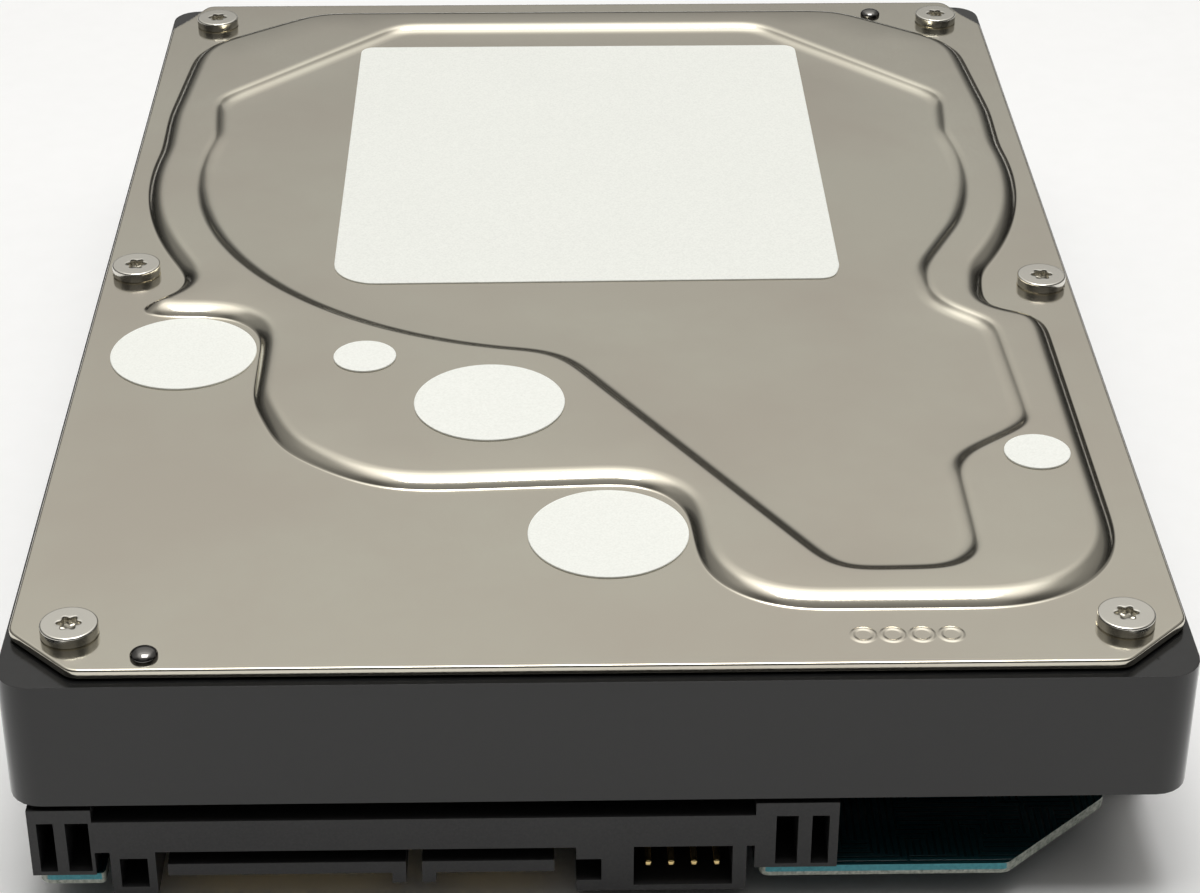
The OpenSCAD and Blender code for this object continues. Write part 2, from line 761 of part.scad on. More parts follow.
module disk_clamp() {
    color([0.78, 0.78, 0.8])
    difference() {
        post(spindle, clamp_r, stack_top, stack_top + 1.1);
        post(spindle, 4, stack_top - 1, stack_top + 2);
        for (i = [0:5])
            post(spindle + clamp_screw_r * [cos(60 * i), sin(60 * i)], 0.9, stack_top - 1, stack_top + 2);
    }
}

module clamp_screws() {
    color([0.7, 0.7, 0.68])
    for (i = [0:5])
        screw(spindle + clamp_screw_r * [cos(60 * i), sin(60 * i)], 1.8, 0.9, 0.75,
            stack_top + 1.1, stack_top - 2.6, 0.8);
}

// ---------- actuator ----------

block_z0 = arm_z[0];
block_z1 = arm_z[3] + arm_t;
bearing_h = 2.5;
bearing_r = pivot_sleeve_d / 2 - 0.9;
arm_root_r = pivot_sleeve_d / 2 + 2.1;
coil_in_r = 11.8;

module pivot_post() {
    color([0.7, 0.7, 0.72]) {
        post(pivot, 1.6, bay_floor - 1.4, bay_floor);
        post(pivot, pivot_post_d / 2 + 1, bay_floor, bay_floor + 0.5);
        post(pivot, pivot_post_d / 2, bay_floor, block_z1 + 0.9);
    }
}

module pivot_bearings() {
    color([0.75, 0.75, 0.78])
    for (z = [block_z0 + 0.3, block_z1 - 0.3 - bearing_h])
        ring(pivot, pivot_post_d / 2 + running_fit, bearing_r, z, z + bearing_h);
}

module pivot_sleeve() {
    color([0.68, 0.68, 0.7])
    ring(pivot, bearing_r, pivot_sleeve_d / 2, block_z0 + 0.1, block_z1 - 0.1);
}

// Outline of one arm, tapering towards its tip
arm_tip = 29;
function arm_outline() =
    let (u = [cos(park_dir), sin(park_dir)], v = [-sin(park_dir), cos(park_dir)])
    rounded([
        concat(pivot - 6 * v, [1]), concat(pivot + arm_tip * u - 2.4 * v, [1.2]),
        concat(pivot + arm_tip * u + 2.4 * v, [1.2]), concat(pivot + 6 * v, [1])
    ]);

// Hole that lightens an arm
function arm_window() =
    let (u = [cos(park_dir), sin(park_dir)], v = [-sin(park_dir), cos(park_dir)])
    rounded([
        concat(pivot + 10.5 * u - 2.9 * v, [0.8]), concat(pivot + 22 * u - 1.3 * v, [0.8]),
        concat(pivot + 22 * u + 1.3 * v, [0.8]), concat(pivot + 10.5 * u + 2.9 * v, [0.8])
    ]);

fork_t = coil_t - 0.4;
fork_z = coil_z + 0.2;

module arm_block() {
    color([0.7, 0.71, 0.73])
    difference() {
        union() {
            post(pivot, arm_root_r, block_z0, block_z1);
            for (z = arm_z)
                difference() {
                    plate(arm_outline(), z, z + arm_t);
                    plate(arm_window(), z - 1, z + arm_t + 1);
                }
            // coil fork
            difference() {
                plate(sector(pivot, 6, coil_r - 1, coil_dir, fork_half), fork_z, fork_z + fork_t);
                plate(sector(pivot, coil_in_r, coil_r + 2, coil_dir, coil_half),
                    fork_z - 1, fork_z + fork_t + 1);
            }
        }
        post(pivot, pivot_sleeve_d / 2, block_z0 - 1, block_z1 + 1);
    }
}

module voice_coil() {
    winding = 3.6;
    color([0.75, 0.42, 0.2])
    difference() {
        plate(sector(pivot, coil_in_r, coil_r, coil_dir, coil_half), coil_z, coil_z + coil_t);
        plate(sector(pivot, coil_in_r + winding, coil_r - winding, coil_dir, coil_half - 8),
            coil_z - 1, coil_z + coil_t + 1);
    }
}

// Heights of the suspensions, and for each which way its head faces
suspension_t = 0.15;
slider_t = 0.3;
head_levels = [for (i = [0:2]) each [[arm_z[i] + arm_t, 1], [arm_z[i + 1] - suspension_t, -1]]];

function suspension_outline() =
    let (
        u = [cos(park_dir), sin(park_dir)],
        v = [-sin(park_dir), cos(park_dir)],
        root = arm_tip - 3.5,
        neck = arm_reach + 1,
        tab = arm_reach + 3.4
    )
    rounded([
        concat(pivot + root * u - 2 * v, [0.6]), concat(pivot + neck * u - 0.7 * v, [0.3]),
        concat(pivot + tab * u - 0.35 * v, [0.2]), concat(pivot + tab * u + 0.35 * v, [0.2]),
        concat(pivot + neck * u + 0.7 * v, [0.3]), concat(pivot + root * u + 2 * v, [0.6])
    ]);

module suspensions() {
    color([0.78, 0.78, 0.8])
    for (s = head_levels) plate(suspension_outline(), s[0], s[0] + suspension_t);
}

module sliders() {
    color([0.2, 0.2, 0.22])
    for (s = head_levels) {
        z0 = s[1] > 0 ? s[0] + suspension_t : s[0] - slider_t;
        translate([pivot[0], pivot[1], z0]) rotate([0, 0, park_dir])
        translate([arm_reach - 0.6, -0.5, 0]) cube([1.25, 1, slider_t]);
    }
}

module preamp_chip() {
    color([0.1, 0.1, 0.12])
    translate([pivot[0], pivot[1], block_z1]) rotate([0, 0, park_dir])
    translate([8.6, -1.2, 0]) cube([1.8, 2.4, 0.5]);
}

// Fixed end of the flexible circuit
flex_at = pivot + [-28.5, -7.5];

module flex_bracket() {
    color([0.15, 0.15, 0.16])
    difference() {
        union() {
            block(concat(flex_at - [6.5, 3.5], [bay_floor]),
                concat(flex_at + [6.5, 3.5], [bay_floor + 1.2]));
            block(concat(flex_at + [4, -1], [bay_floor]),
                concat(flex_at + [5.5, 3.5], [block_z1 - 3]));
        }
        post(flex_at - [5.4, 0], 0.8, bay_floor - 1, bay_floor + 3);
    }
}

// Ribbon from the bracket to the round side of the arm block
module flex_ribbon() {
    color([0.72, 0.45, 0.18]) {
        z0 = block_z0 + 3;
        z1 = block_z0 + 9;
        r = arm_root_r + 0.7;
        a0 = 205;
        start = pivot + r * [cos(a0), sin(a0)];
        knee = flex_at + [5.5, 0.5];
        plate(sector(pivot, r - 0.12, r, 230, 25), z0, z1);
        plate([start + [0.1, 0.1], knee + [0, 0.15], knee, start + [0.12, -0.12]], z0, z1);
    }
}

// Yoke plate outline over the coil's sweep
vcm_dir = coil_dir - swing / 2;
vcm_half = coil_half + swing / 2 - 1;
function yoke_outline() = sector(pivot, yoke_in_r, yoke_out_r, vcm_dir, vcm_half);
post_r = 1.8;
stud_r = 1;
stop_t = 0.7;
post_from_pivot = 19;
// Angle of a post from the middle of the sweep: the fork just reaches its rubber at each limit
post_half = swing / 2 + fork_half + asin((post_r + stop_t) / post_from_pivot) + 0.9;
yoke_post_at = [
    for (a = [vcm_dir - post_half, vcm_dir + post_half]) pivot + post_from_pivot * [cos(a), sin(a)]
];

// Yoke plate with two ears that rest on the posts
module yoke(z0, z1) {
    middle = pivot + post_from_pivot * [cos(vcm_dir), sin(vcm_dir)];
    difference() {
        union() {
            plate(yoke_outline(), z0, z1);
            for (p = yoke_post_at) {
                post(p, post_r + 1, z0, z1);
                hull() {
                    post(p, post_r, z0, z1);
                    post(p + 4 * unit(middle - p), post_r, z0, z1);
                }
            }
        }
        for (p = yoke_post_at) post(p, stud_r, z0 - 1, z1 + 1);
    }
}

lower_yoke_z = lower_magnet_z - yoke_t;
upper_yoke_z = upper_magnet_z + magnet_t;

module lower_yoke() {
    color([0.75, 0.75, 0.77]) yoke(lower_yoke_z, lower_yoke_z + yoke_t);
}

module upper_yoke() {
    color([0.75, 0.75, 0.77]) yoke(upper_yoke_z, upper_yoke_z + yoke_t);
}

// Two poles side by side on one yoke
module magnet_pair(z0) {
    for (s = [-1, 1])
        plate(sector(pivot, yoke_in_r + 1, yoke_out_r - 1.5, vcm_dir + s * 13.5, 13), z0, z0 + magnet_t);
}

module lower_magnets() { color([0.45, 0.45, 0.48]) magnet_pair(lower_magnet_z); }

module upper_magnets() { color([0.45, 0.45, 0.48]) magnet_pair(upper_magnet_z); }

module yoke_posts() {
    color([0.6, 0.6, 0.62])
    for (p = yoke_post_at) {
        floor_z = p[1] < -l2 + rail_setback + 2 ? shelf_floor : bay_floor;
        post(p, post_r, floor_z, lower_yoke_z);
        post(p, stud_r, lower_yoke_z, upper_yoke_z + yoke_t + 0.6);
        post(p, post_r, lower_yoke_z + yoke_t, upper_yoke_z);
    }
}

// Rubber sleeves on the yoke posts that stop the coil fork
module crash_stops() {
    color([0.08, 0.08, 0.08])
    for (p = yoke_post_at) ring(p, post_r, post_r + stop_t, fork_z - 0.3, fork_z + fork_t + 0.3);
}

// Parking ramp: a post with a tooth for each pair of lift tabs
module parking_ramp() {
    tooth_t = arm_t - 0.2;
    r0 = arm_reach + 4.2;
    clear_r = platter_d / 2 + 0.8;
    // direction in which the block just clears the platters' edge
    edge_dir = spindle_dir + head_angle(clear_r, r0);
    color([0.9, 0.88, 0.8]) {
        plate(sector(pivot, r0, r0 + 2.2, edge_dir + 4, 4), bay_floor, block_z1);
        for (z = arm_z)
            plate(sector(pivot, arm_reach + 1.3, arm_reach + 4.3, park_dir - 2, 5),
                z + 0.1, z + 0.1 + tooth_t);
    }
}

latch_at = pivot + [20.7, 11.6];

module latch_lever() {
    color([0.12, 0.12, 0.13])
    difference() {
        union() {
            post(latch_at, 2.4, fork_z - 0.4, fork_z + fork_t + 0.4);
            hull() {
                post(latch_at, 1.2, fork_z, fork_z + fork_t);
                post(latch_at + [4.6, -6.4], 0.8, fork_z, fork_z + fork_t);
            }
            post(latch_at + [-4.4, 1.4], 2, fork_z, fork_z + fork_t);
            block([latch_at[0] - 4.4, latch_at[1] - 0.6, fork_z],
                [latch_at[0], latch_at[1] + 1.8, fork_z + fork_t]);
        }
        post(latch_at, 1 + running_fit, fork_z - 2, fork_z + fork_t + 2);
    }
}

module latch_pin() {
    color([0.7, 0.7, 0.72]) {
        post(latch_at, 1, bay_floor, fork_z + fork_t + 0.9);
        post(latch_at, 2.2, bay_floor, fork_z - 0.5);
    }
}

// ---------- air system ----------

module air_filter() {
    color([0.93, 0.93, 0.9])
    block([w2 - 7, spindle_y - 41, bay_floor], [w2 - 5.2, spindle_y - 36.5, bay_floor + 9]);
}

module desiccant_pack() {
    color([0.85, 0.85, 0.82])
    block([-24, spindle_y - 61.5, bay_floor], [-19, spindle_y - 53.5, bay_floor + 7]);
}

base_casting();
top_cover();
cover_gasket();
cover_screws();
cover_dowel_pins();
main_label();
large_port_seals();
small_port_seals();
plug_housing();
power_contacts();
signal_contacts();
jumper_pins();
circuit_board();
board_screws();
controller_chip();
cache_chip();
motor_driver_chip();
board_capacitors();
motor_connector();
head_connector();
board_foam();
motor_bracket();
bracket_screws();
stator_core();
stator_coils();
bearing_sleeve();
spindle_shaft();
rotor_hub();
rotor_magnet();
platter_lower();
platter_middle();
platter_upper();
disk_spacers();
disk_clamp();
clamp_screws();
pivot_post();
pivot_bearings();
pivot_sleeve();
arm_block();
voice_coil();
suspensions();
sliders();
preamp_chip();
flex_bracket();
flex_ribbon();
lower_yoke();
upper_yoke();
lower_magnets();
upper_magnets();
yoke_posts();
crash_stops();
parking_ramp();
latch_lever();
latch_pin();
air_filter();
desiccant_pack();
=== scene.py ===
# %% [markdown]
# # A 3.5-inch hard disk drive
#
# The drive arrives as a frame of exact parts: a cast tub, a pressed cover, a plug, a circuit board
# and everything that turns inside. This lesson gives those parts their finish. It reads each
# outline and level off the frame, lays smoother surfaces over the parts that people see, and
# builds one material for every slot of the record. Nearly every size comes from the frame, so if
# one of its parts changes, the surfaces below follow it.

# %% The frame
import json
import math

import bmesh
import bpy
import numpy as np
from mathutils import Matrix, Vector
from mathutils.geometry import delaunay_2d_cdt

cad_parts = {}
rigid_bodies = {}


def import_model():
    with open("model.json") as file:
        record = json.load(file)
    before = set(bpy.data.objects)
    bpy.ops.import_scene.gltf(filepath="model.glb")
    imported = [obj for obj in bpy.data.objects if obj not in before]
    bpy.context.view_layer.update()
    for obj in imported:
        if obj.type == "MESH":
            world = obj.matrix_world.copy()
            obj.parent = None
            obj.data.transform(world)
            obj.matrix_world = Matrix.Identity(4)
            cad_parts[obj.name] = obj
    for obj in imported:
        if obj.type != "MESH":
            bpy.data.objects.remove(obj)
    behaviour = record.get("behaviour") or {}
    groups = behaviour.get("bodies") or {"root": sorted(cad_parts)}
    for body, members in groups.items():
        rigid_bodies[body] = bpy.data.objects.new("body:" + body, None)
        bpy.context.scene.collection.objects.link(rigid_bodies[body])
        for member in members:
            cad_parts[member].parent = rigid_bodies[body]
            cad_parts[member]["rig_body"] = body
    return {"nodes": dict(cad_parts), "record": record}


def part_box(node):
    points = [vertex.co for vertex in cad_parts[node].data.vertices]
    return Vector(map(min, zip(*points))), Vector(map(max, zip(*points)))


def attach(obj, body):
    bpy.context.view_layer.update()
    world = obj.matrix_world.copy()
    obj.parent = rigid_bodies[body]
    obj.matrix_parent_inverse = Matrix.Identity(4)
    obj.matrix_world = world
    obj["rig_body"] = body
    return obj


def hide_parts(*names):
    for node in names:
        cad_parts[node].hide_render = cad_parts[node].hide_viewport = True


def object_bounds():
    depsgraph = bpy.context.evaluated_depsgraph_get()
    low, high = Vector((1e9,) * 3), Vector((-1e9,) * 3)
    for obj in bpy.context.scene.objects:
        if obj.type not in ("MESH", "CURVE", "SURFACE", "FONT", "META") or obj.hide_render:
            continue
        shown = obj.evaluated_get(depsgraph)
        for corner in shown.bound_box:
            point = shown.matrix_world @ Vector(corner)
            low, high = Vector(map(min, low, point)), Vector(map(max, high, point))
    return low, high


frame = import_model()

cad_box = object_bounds()

# %% [markdown]
# Blender works in metres and a drive is made in millimetres, so sizes are written as a number
# times MM. The levels that matter all belong to the cover: its flange, which the screws press
# down, the plateau that stands above it, and the sunken panel that takes the label. Each is the
# top or bottom of some part's box. The corner that a box lookup returns has three numbers, and
# X, Y and Z name them.

# %% Levels of the cover
MM = 0.001
X, Y, Z = 0, 1, 2


def low(node, axis):
    """Lowest coordinate of a part along an axis."""
    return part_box(node)[0][axis]


def high(node, axis):
    """Highest coordinate of a part along an axis."""
    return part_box(node)[1][axis]


plateau_z = high("top_cover", Z)
flange_z = low("large_port_seals", Z)
panel_z = low("main_label", Z)
sheet = flange_z - low("top_cover", Z)
print(f"plateau {plateau_z / MM:.2f}, flange {flange_z / MM:.2f}, panel {panel_z / MM:.2f} mm")

# %% [markdown]
# ## Reading an outline off a part
#
# A pressed cover is described by a few closed outlines: its edge, the foot of the plateau, the
# rim of the panel. The frame already holds them, as the edges where a level face meets an upright
# one. A CAD mesh is loose triangles, so a copy is merged before its edges are asked for. Each
# outline is then a walk from corner to corner until it is back at its start.

# %% Outlines of a part at a height
def merged(node):
    """A copy of a part's mesh with its loose triangles joined at their corners."""
    mesh = bmesh.new()
    mesh.from_mesh(frame["nodes"][node].data)
    bmesh.ops.remove_doubles(mesh, verts=mesh.verts, dist=0.001 * MM)
    mesh.normal_update()
    return mesh


def area_of(loop):
    """Signed area of a closed outline: half the sum of x(i) y(i+1) - x(i+1) y(i)."""
    following = np.roll(loop, -1, axis=0)
    return 0.5 * np.sum(loop[:, 0] * following[:, 1] - following[:, 0] * loop[:, 1])


def outlines(node, height):
    """Closed outlines of a part at a height, each anticlockwise, the largest first."""
    mesh = merged(node)
    links = {}
    for edge in mesh.edges:
        level = all(abs(v.co.z - height) < 0.01 * MM for v in edge.verts)
        if level and len(edge.link_faces) == 2:
            lying = [abs(face.normal.z) > 0.7 for face in edge.link_faces]
            if lying[0] != lying[1]:
                a, b = edge.verts
                links.setdefault(a, []).append(b)
                links.setdefault(b, []).append(a)
    loops = []
    while links:
        start = next(iter(links))
        walk, at = [start], start
        while links.get(at):
            following = links[at].pop()
            links[following].remove(at)
            if not links[at]:
                del links[at]
            at = following
            if at is start:
                break
            walk.append(at)
        links = {v: near for v, near in links.items() if near}
        loop = np.array([v.co.xy for v in walk])
        loops.append(loop if area_of(loop) > 0 else loop[::-1])
    mesh.free()
    return sorted(loops, key=area_of, reverse=True)


at_flange = outlines("top_cover", flange_z)
at_plateau = outlines("top_cover", plateau_z)
print("outlines at the flange:", [round(area_of(loop) / MM**2) for loop in at_flange[:4]])
print("outlines at the plateau:", [round(area_of(loop) / MM**2) for loop in at_plateau[:4]])

# %% [markdown]
# A die leaves no corners between its straights and its bends. To get that flow, an outline is
# divided evenly along its length and then softened: its points are turned into waves with the
# Fourier transform, the short waves are faded out, and the rest is turned back. The blur is given
# as a distance, so a small one only melts the facets and a larger one relaxes the bends.

# %% Softened outlines
def flowing(loop, step=0.42 * MM, blur=0.7 * MM):
    """The outline at even steps, each wave of length w faded by exp(-0.5 (2 pi blur / w)^2)."""
    closed = np.vstack([loop, loop[:1]])
    along = np.concatenate([[0], np.cumsum(np.linalg.norm(np.diff(closed, axis=0), axis=1))])
    count = int(round(along[-1] / step))
    at = np.linspace(0, along[-1], count, endpoint=False)
    points = np.interp(at, along, closed[:, 0]) + 1j * np.interp(at, along, closed[:, 1])
    waves = np.fft.fftfreq(count, d=along[-1] / count)
    points = np.fft.ifft(np.fft.fft(points) * np.exp(-0.5 * (2 * np.pi * waves * blur) ** 2))
    return np.column_stack([points.real, points.imag])


def inward(loop):
    """Unit normals pointing into an anticlockwise outline: the tangent turned a quarter left."""
    along = np.roll(loop, -1, axis=0) - np.roll(loop, 1, axis=0)
    along /= np.linalg.norm(along, axis=1)[:, None]
    return np.column_stack([-along[:, 1], along[:, 0]])


def shifted(loop, distance):
    """The outline moved inward by a distance."""
    return loop + distance * inward(loop)


# %% [markdown]
# ## Surfaces from grids
#
# Two kinds of grid make nearly everything. A **carried profile** is a short section, given as
# steps inward and steps up, taken round an outline: point (i, j) is outline point i, moved inward
# by offset j, at height j. A **turned profile** is a section taken round an axis. Both come out
# of numpy as whole arrays, and both join their last row to their first.
#
# The level areas between outlines are triangulated. To know which triangles to keep, a ray is
# sent along X from the middle of each. It divides by the rise of every edge it meets, so a rise
# of nothing is replaced by the least one.

# %% Grids and sheets
LOBES = 6
LEAST_RISE = 1e-12


def carried(loop, profile):
    """P(i, j) = outline(i) + offset(j) * inward(i), at height(j), as an array (i, j, 3)."""
    offset, height = np.asarray(profile, float).T
    flat = loop[:, None, :] + offset[None, :, None] * inward(loop)[:, None, :]
    up = np.broadcast_to(height[None, :, None], flat.shape[:2] + (1,))
    return np.concatenate([flat, up], axis=2)


def turned(profile, around=96):
    """P(i, j) = radius(j) (1 + lobe(j) cos(6 a)) at angle a(i), at height(j).

    A row of the profile is a radius, a height and, if it has lobes, their share of the radius.
    """
    columns = np.asarray(profile, float).T
    radius, height = columns[:2]
    lobe = columns[2] if len(columns) > 2 else 0.0
    angle = np.linspace(0, 2 * np.pi, around, endpoint=False)[:, None]
    reach = radius * (1 + lobe * np.cos(LOBES * angle))
    up = np.broadcast_to(height, reach.shape)
    return np.stack([reach * np.cos(angle), reach * np.sin(angle), up], axis=2)


def grid_quads(rows, columns, first=0):
    """Corner numbers of the quads of a grid whose rows close on themselves."""
    i, j = np.meshgrid(np.arange(rows), np.arange(columns - 1), indexing="ij")
    i, j, k = i.ravel(), j.ravel(), (i.ravel() + 1) % rows
    return first + np.column_stack([i * columns + j, k * columns + j,
                                    k * columns + j + 1, i * columns + j + 1])


def inside(points, loop):
    """True where a point is inside an outline: a ray along X crosses it an odd number of times."""
    following = np.roll(loop, -1, axis=0)
    x, y = points[:, :1], points[:, 1:]
    spans = (loop[None, :, 1] > y) != (following[None, :, 1] > y)
    run = following[:, 0] - loop[:, 0]
    rise = following[:, 1] - loop[:, 1]
    rise = np.where(np.abs(rise) < LEAST_RISE, LEAST_RISE, rise)
    crossing = loop[None, :, 0] + (y - loop[None, :, 1]) * (run / rise)[None, :]
    return (np.sum(spans & (x < crossing), axis=1) % 2).astype(bool)


def level_sheet(loops, height, pitch=5 * MM):
    """Triangles of the level area that lies inside an odd number of outlines.

    A lattice of points is spread between the outlines, so that no triangle is a long splinter.
    """
    edge = np.vstack(loops)
    lows, highs = edge.min(axis=0), edge.max(axis=0)
    lattice = np.stack(np.meshgrid(np.arange(lows[0], highs[0], pitch),
                                   np.arange(lows[1], highs[1], pitch)), axis=2).reshape(-1, 2)
    reach = np.min(np.linalg.norm(lattice[:, None, :] - edge[None, ::4, :], axis=2), axis=1)
    lattice = lattice[reach > pitch / 2]
    points = np.vstack([edge, lattice])
    starts = np.cumsum([0] + [len(loop) for loop in loops])
    sides = [(first + k, first + (k + 1) % (after - first))
             for first, after in zip(starts, starts[1:]) for k in range(after - first)]
    found = delaunay_2d_cdt([tuple(p) for p in points / MM], sides, [], 0, 1e-6, False)
    corners = np.array([tuple(p) for p in found[0]]) * MM
    faces = np.array(found[2])
    middle = corners[faces].mean(axis=1)
    keep = np.sum([inside(middle, loop) for loop in loops], axis=0) % 2 == 1
    faces = faces[keep]
    a, b, c = (corners[faces[:, k]] for k in range(3))
    turn = (b - a)[:, 0] * (c - a)[:, 1] - (b - a)[:, 1] * (c - a)[:, 0]
    faces[turn < 0] = faces[turn < 0][:, ::-1]
    up = np.full((len(corners), 1), height)
    return np.hstack([corners, up]), faces


# %% [markdown]
# Every new surface goes through one function, which joins its grids and sheets into one mesh,
# merges the seams where they meet and turns all faces outward. Two helpers finish it: one marks as
# sharp only the edges that are sharp on the real thing, the other puts the piece on its body, gives
# it the finish of its slot and hides the CAD parts it stands for.

# %% Making a piece
class Parts:
    """Grids and sheets gathered for one piece."""

    def __init__(self):
        self.points, self.faces, self.count = [], [], 0

    def add(self, points, faces, flip=False):
        """Adds points and their faces, turned over if asked."""
        self.points.append(np.asarray(points).reshape(-1, 3))
        self.faces.extend((np.asarray(faces)[:, ::-1] if flip else np.asarray(faces)) + self.count)
        self.count += len(self.points[-1])

    def grid(self, grid, flip=False):
        """Adds a grid whose rows close on themselves."""
        self.add(grid, grid_quads(grid.shape[0], grid.shape[1]), flip)

    def sheet(self, loops, height, flip=False):
        """Adds the level area between outlines."""
        points, faces = level_sheet(loops, height)
        self.add(points, faces, flip)


def settle(obj, body, slot, stands_for=(), finish=None):
    """Puts a finished object on its body, with the finish of its slot or the one given, in place of
    its CAD nodes.
    """
    obj.data.materials.clear()
    obj.data.materials.append(materials[finish or slot])
    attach(obj, body)
    if stands_for:
        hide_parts(*stands_for)
    print(f"{obj.name}: {len(obj.data.polygons)} faces on {body}")
    return obj


def shaded(name, work, sharp):
    """An object from a working mesh, smooth except where faces meet past an angle in degrees."""
    mesh = bpy.data.meshes.new(name)
    work.to_mesh(mesh)
    work.free()
    obj = bpy.data.objects.new(name, mesh)
    bpy.context.scene.collection.objects.link(obj)
    mesh.polygons.foreach_set("use_smooth", [True] * len(mesh.polygons))
    mesh.set_sharp_from_angle(angle=math.radians(sharp))
    return obj


def piece(name, parts, body, slot, stands_for=(), sharp=40, finish=None):
    """One mesh object from gathered parts, with its seams merged and its faces outward."""
    raw = bpy.data.meshes.new("raw")
    raw.from_pydata(np.vstack(parts.points).tolist(), [], [face.tolist() for face in parts.faces])
    work = bmesh.new()
    work.from_mesh(raw)
    bpy.data.meshes.remove(raw)
    bmesh.ops.remove_doubles(work, verts=work.verts, dist=0.002 * MM)
    bmesh.ops.dissolve_degenerate(work, dist=0.0005 * MM, edges=work.edges)
    bmesh.ops.recalc_face_normals(work, faces=work.faces)
    return settle(shaded(name, work, sharp), body, slot, stands_for, finish)


# %% [markdown]
# ## Softened copies
#
# Moulded, cast and stamped parts that already have the right shape only lack the small radius of
# a real edge, which is where they catch the light. For those, the merged copy of the CAD mesh has
# its flat faces joined, its outside corners bevelled and its shading weighted towards the large
# faces, so flats stay flat. Inside corners stay sharp, as a mould leaves them.

# %% Copies with rounded edges
FLAT = math.radians(1)
CORNER = math.radians(35)


def softened(name, node, radius, slot, segments=2):
    """A copy of a CAD node whose outside corners are rounded to a radius."""
    work = merged(node)
    bmesh.ops.dissolve_limit(work, angle_limit=FLAT, verts=work.verts, edges=work.edges)
    corners = [edge for edge in work.edges if len(edge.link_faces) == 2
               and edge.is_convex and edge.calc_face_angle(0) > CORNER]
    bmesh.ops.bevel(work, geom=corners, offset=radius, offset_type="OFFSET", segments=segments,
                    profile=0.5, affect="EDGES", clamp_overlap=True)
    bmesh.ops.triangulate(work, faces=[face for face in work.faces if len(face.verts) > 4])
    obj = shaded(name, work, sharp=32)
    weigh = obj.modifiers.new("weighted shading", "WEIGHTED_NORMAL")
    weigh.keep_sharp = True
    return settle(obj, frame["nodes"][node]["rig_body"], slot, [node])


# %% [markdown]
# ## Finishes
#
# A finish is one shader with a few patterns in front of it. All patterns read Object coordinates
# turned into millimetres, so a scale of 2 means two grains to the millimetre on any part. A
# first helper makes a node and wires it in one line, and a class of small steps on top of it keeps
# each recipe down to the lines that say what the surface is like.

# %% A node in one line
def wired(tree, kind, inputs=None, **settings):
    """A node with its settings and its inputs, each a number, a colour or another's output."""
    node = tree.nodes.new(kind)
    for name, value in settings.items():
        setattr(node, name, value)
    for name, value in (inputs or {}).items():
        if isinstance(value, bpy.types.NodeSocket):
            tree.links.new(value, node.inputs[name])
        else:
            node.inputs[name].default_value = value
    return node


# %% A finish and its patterns
COAT_GLOSS = 0.12


class Finish:
    """A material being built: a shader, and patterns that read the part's own millimetres."""

    def __init__(self, slot, roughness=0.5, metallic=0.0, specular=0.5, coat=0.0, sheen=0.0):
        self.material = bpy.data.materials.new(slot)
        self.material.use_nodes = True
        self.tree = self.material.node_tree
        self.shader = self.tree.nodes["Principled BSDF"]
        self.shader.inputs["Roughness"].default_value = roughness
        self.shader.inputs["Metallic"].default_value = metallic
        self.shader.inputs["Specular IOR Level"].default_value = specular
        self.shader.inputs["Coat Weight"].default_value = coat
        self.shader.inputs["Coat Roughness"].default_value = COAT_GLOSS
        self.shader.inputs["Sheen Weight"].default_value = sheen
        place = self.add("ShaderNodeTexCoord").outputs["Object"]
        self.place = self.add("ShaderNodeVectorMath", {0: place, "Scale": 1 / MM},
                              operation="SCALE").outputs[0]

    def add(self, kind, inputs=None, **settings):
        """A node of this material."""
        return wired(self.tree, kind, inputs, **settings)

    def noise(self, scale, detail=2.0, roughness=0.5, stretch=(1, 1, 1)):
        """Cloudy noise with a number of grains to the millimetre, from 0 to 1."""
        place = self.add("ShaderNodeVectorMath", {0: self.place, 1: stretch},
                         operation="MULTIPLY").outputs[0]
        return self.add("ShaderNodeTexNoise", {"Vector": place, "Scale": scale, "Detail": detail,
                                               "Roughness": roughness}).outputs["Fac"]

    def span(self, value, low_in, high_in, low_out, high_out):
        """A value spread from one range to another, and held at its ends."""
        return self.add("ShaderNodeMapRange", {"Value": value, "From Min": low_in,
                                               "From Max": high_in, "To Min": low_out,
                                               "To Max": high_out}).outputs[0]

    def blend(self, share, first, second):
        """A colour between two, by a share. Sockets 6 and 7 are the colours of a Mix node."""
        node = self.add("ShaderNodeMix", {"Factor": share}, data_type="RGBA")
        for socket, value in zip((node.inputs[6], node.inputs[7]), (first, second)):
            if isinstance(value, bpy.types.NodeSocket):
                self.tree.links.new(value, socket)
            else:
                socket.default_value = (*value, 1)
        return node.outputs[2]

    def math(self, operation, first, second=0.0):
        """One arithmetic step."""
        return self.add("ShaderNodeMath", {0: first, 1: second}, operation=operation).outputs[0]

    def facing(self, axis):
        """How squarely a face looks along an axis, either way: 1 if it faces it, 0 if it's edge on."""
        normal = self.add("ShaderNodeNewGeometry").outputs["Normal"]
        return self.math("ABSOLUTE", self.add("ShaderNodeSeparateXYZ", {0: normal}).outputs[axis])

    def wear(self, value, name):
        """Sends a pattern into one of the shader's sockets."""
        self.tree.links.new(value, self.shader.inputs[name])

    def bump(self, height, depth):
        """Sends a pattern into the surface's relief, with its depth in millimetres."""
        node = self.add("ShaderNodeBump", {"Height": height, "Distance": depth * MM, "Strength": 1.0})
        self.wear(node.outputs[0], "Normal")


materials = {}

# %% [markdown]
# ### Bare and plated metal
#
# The cover is thin steel with a warm nickel plate. It mirrors the room softly: fine lines from
# the rolling mill run along the drive, wide clouds of stain change its tint a little, and the
# sheet is never quite flat, so reflections wander. The same recipe with other numbers serves the
# machined, ground and stamped metals inside.

# %% Metal finishes
STAIN_SCALE, WAVE_SCALE = 0.035, 0.03


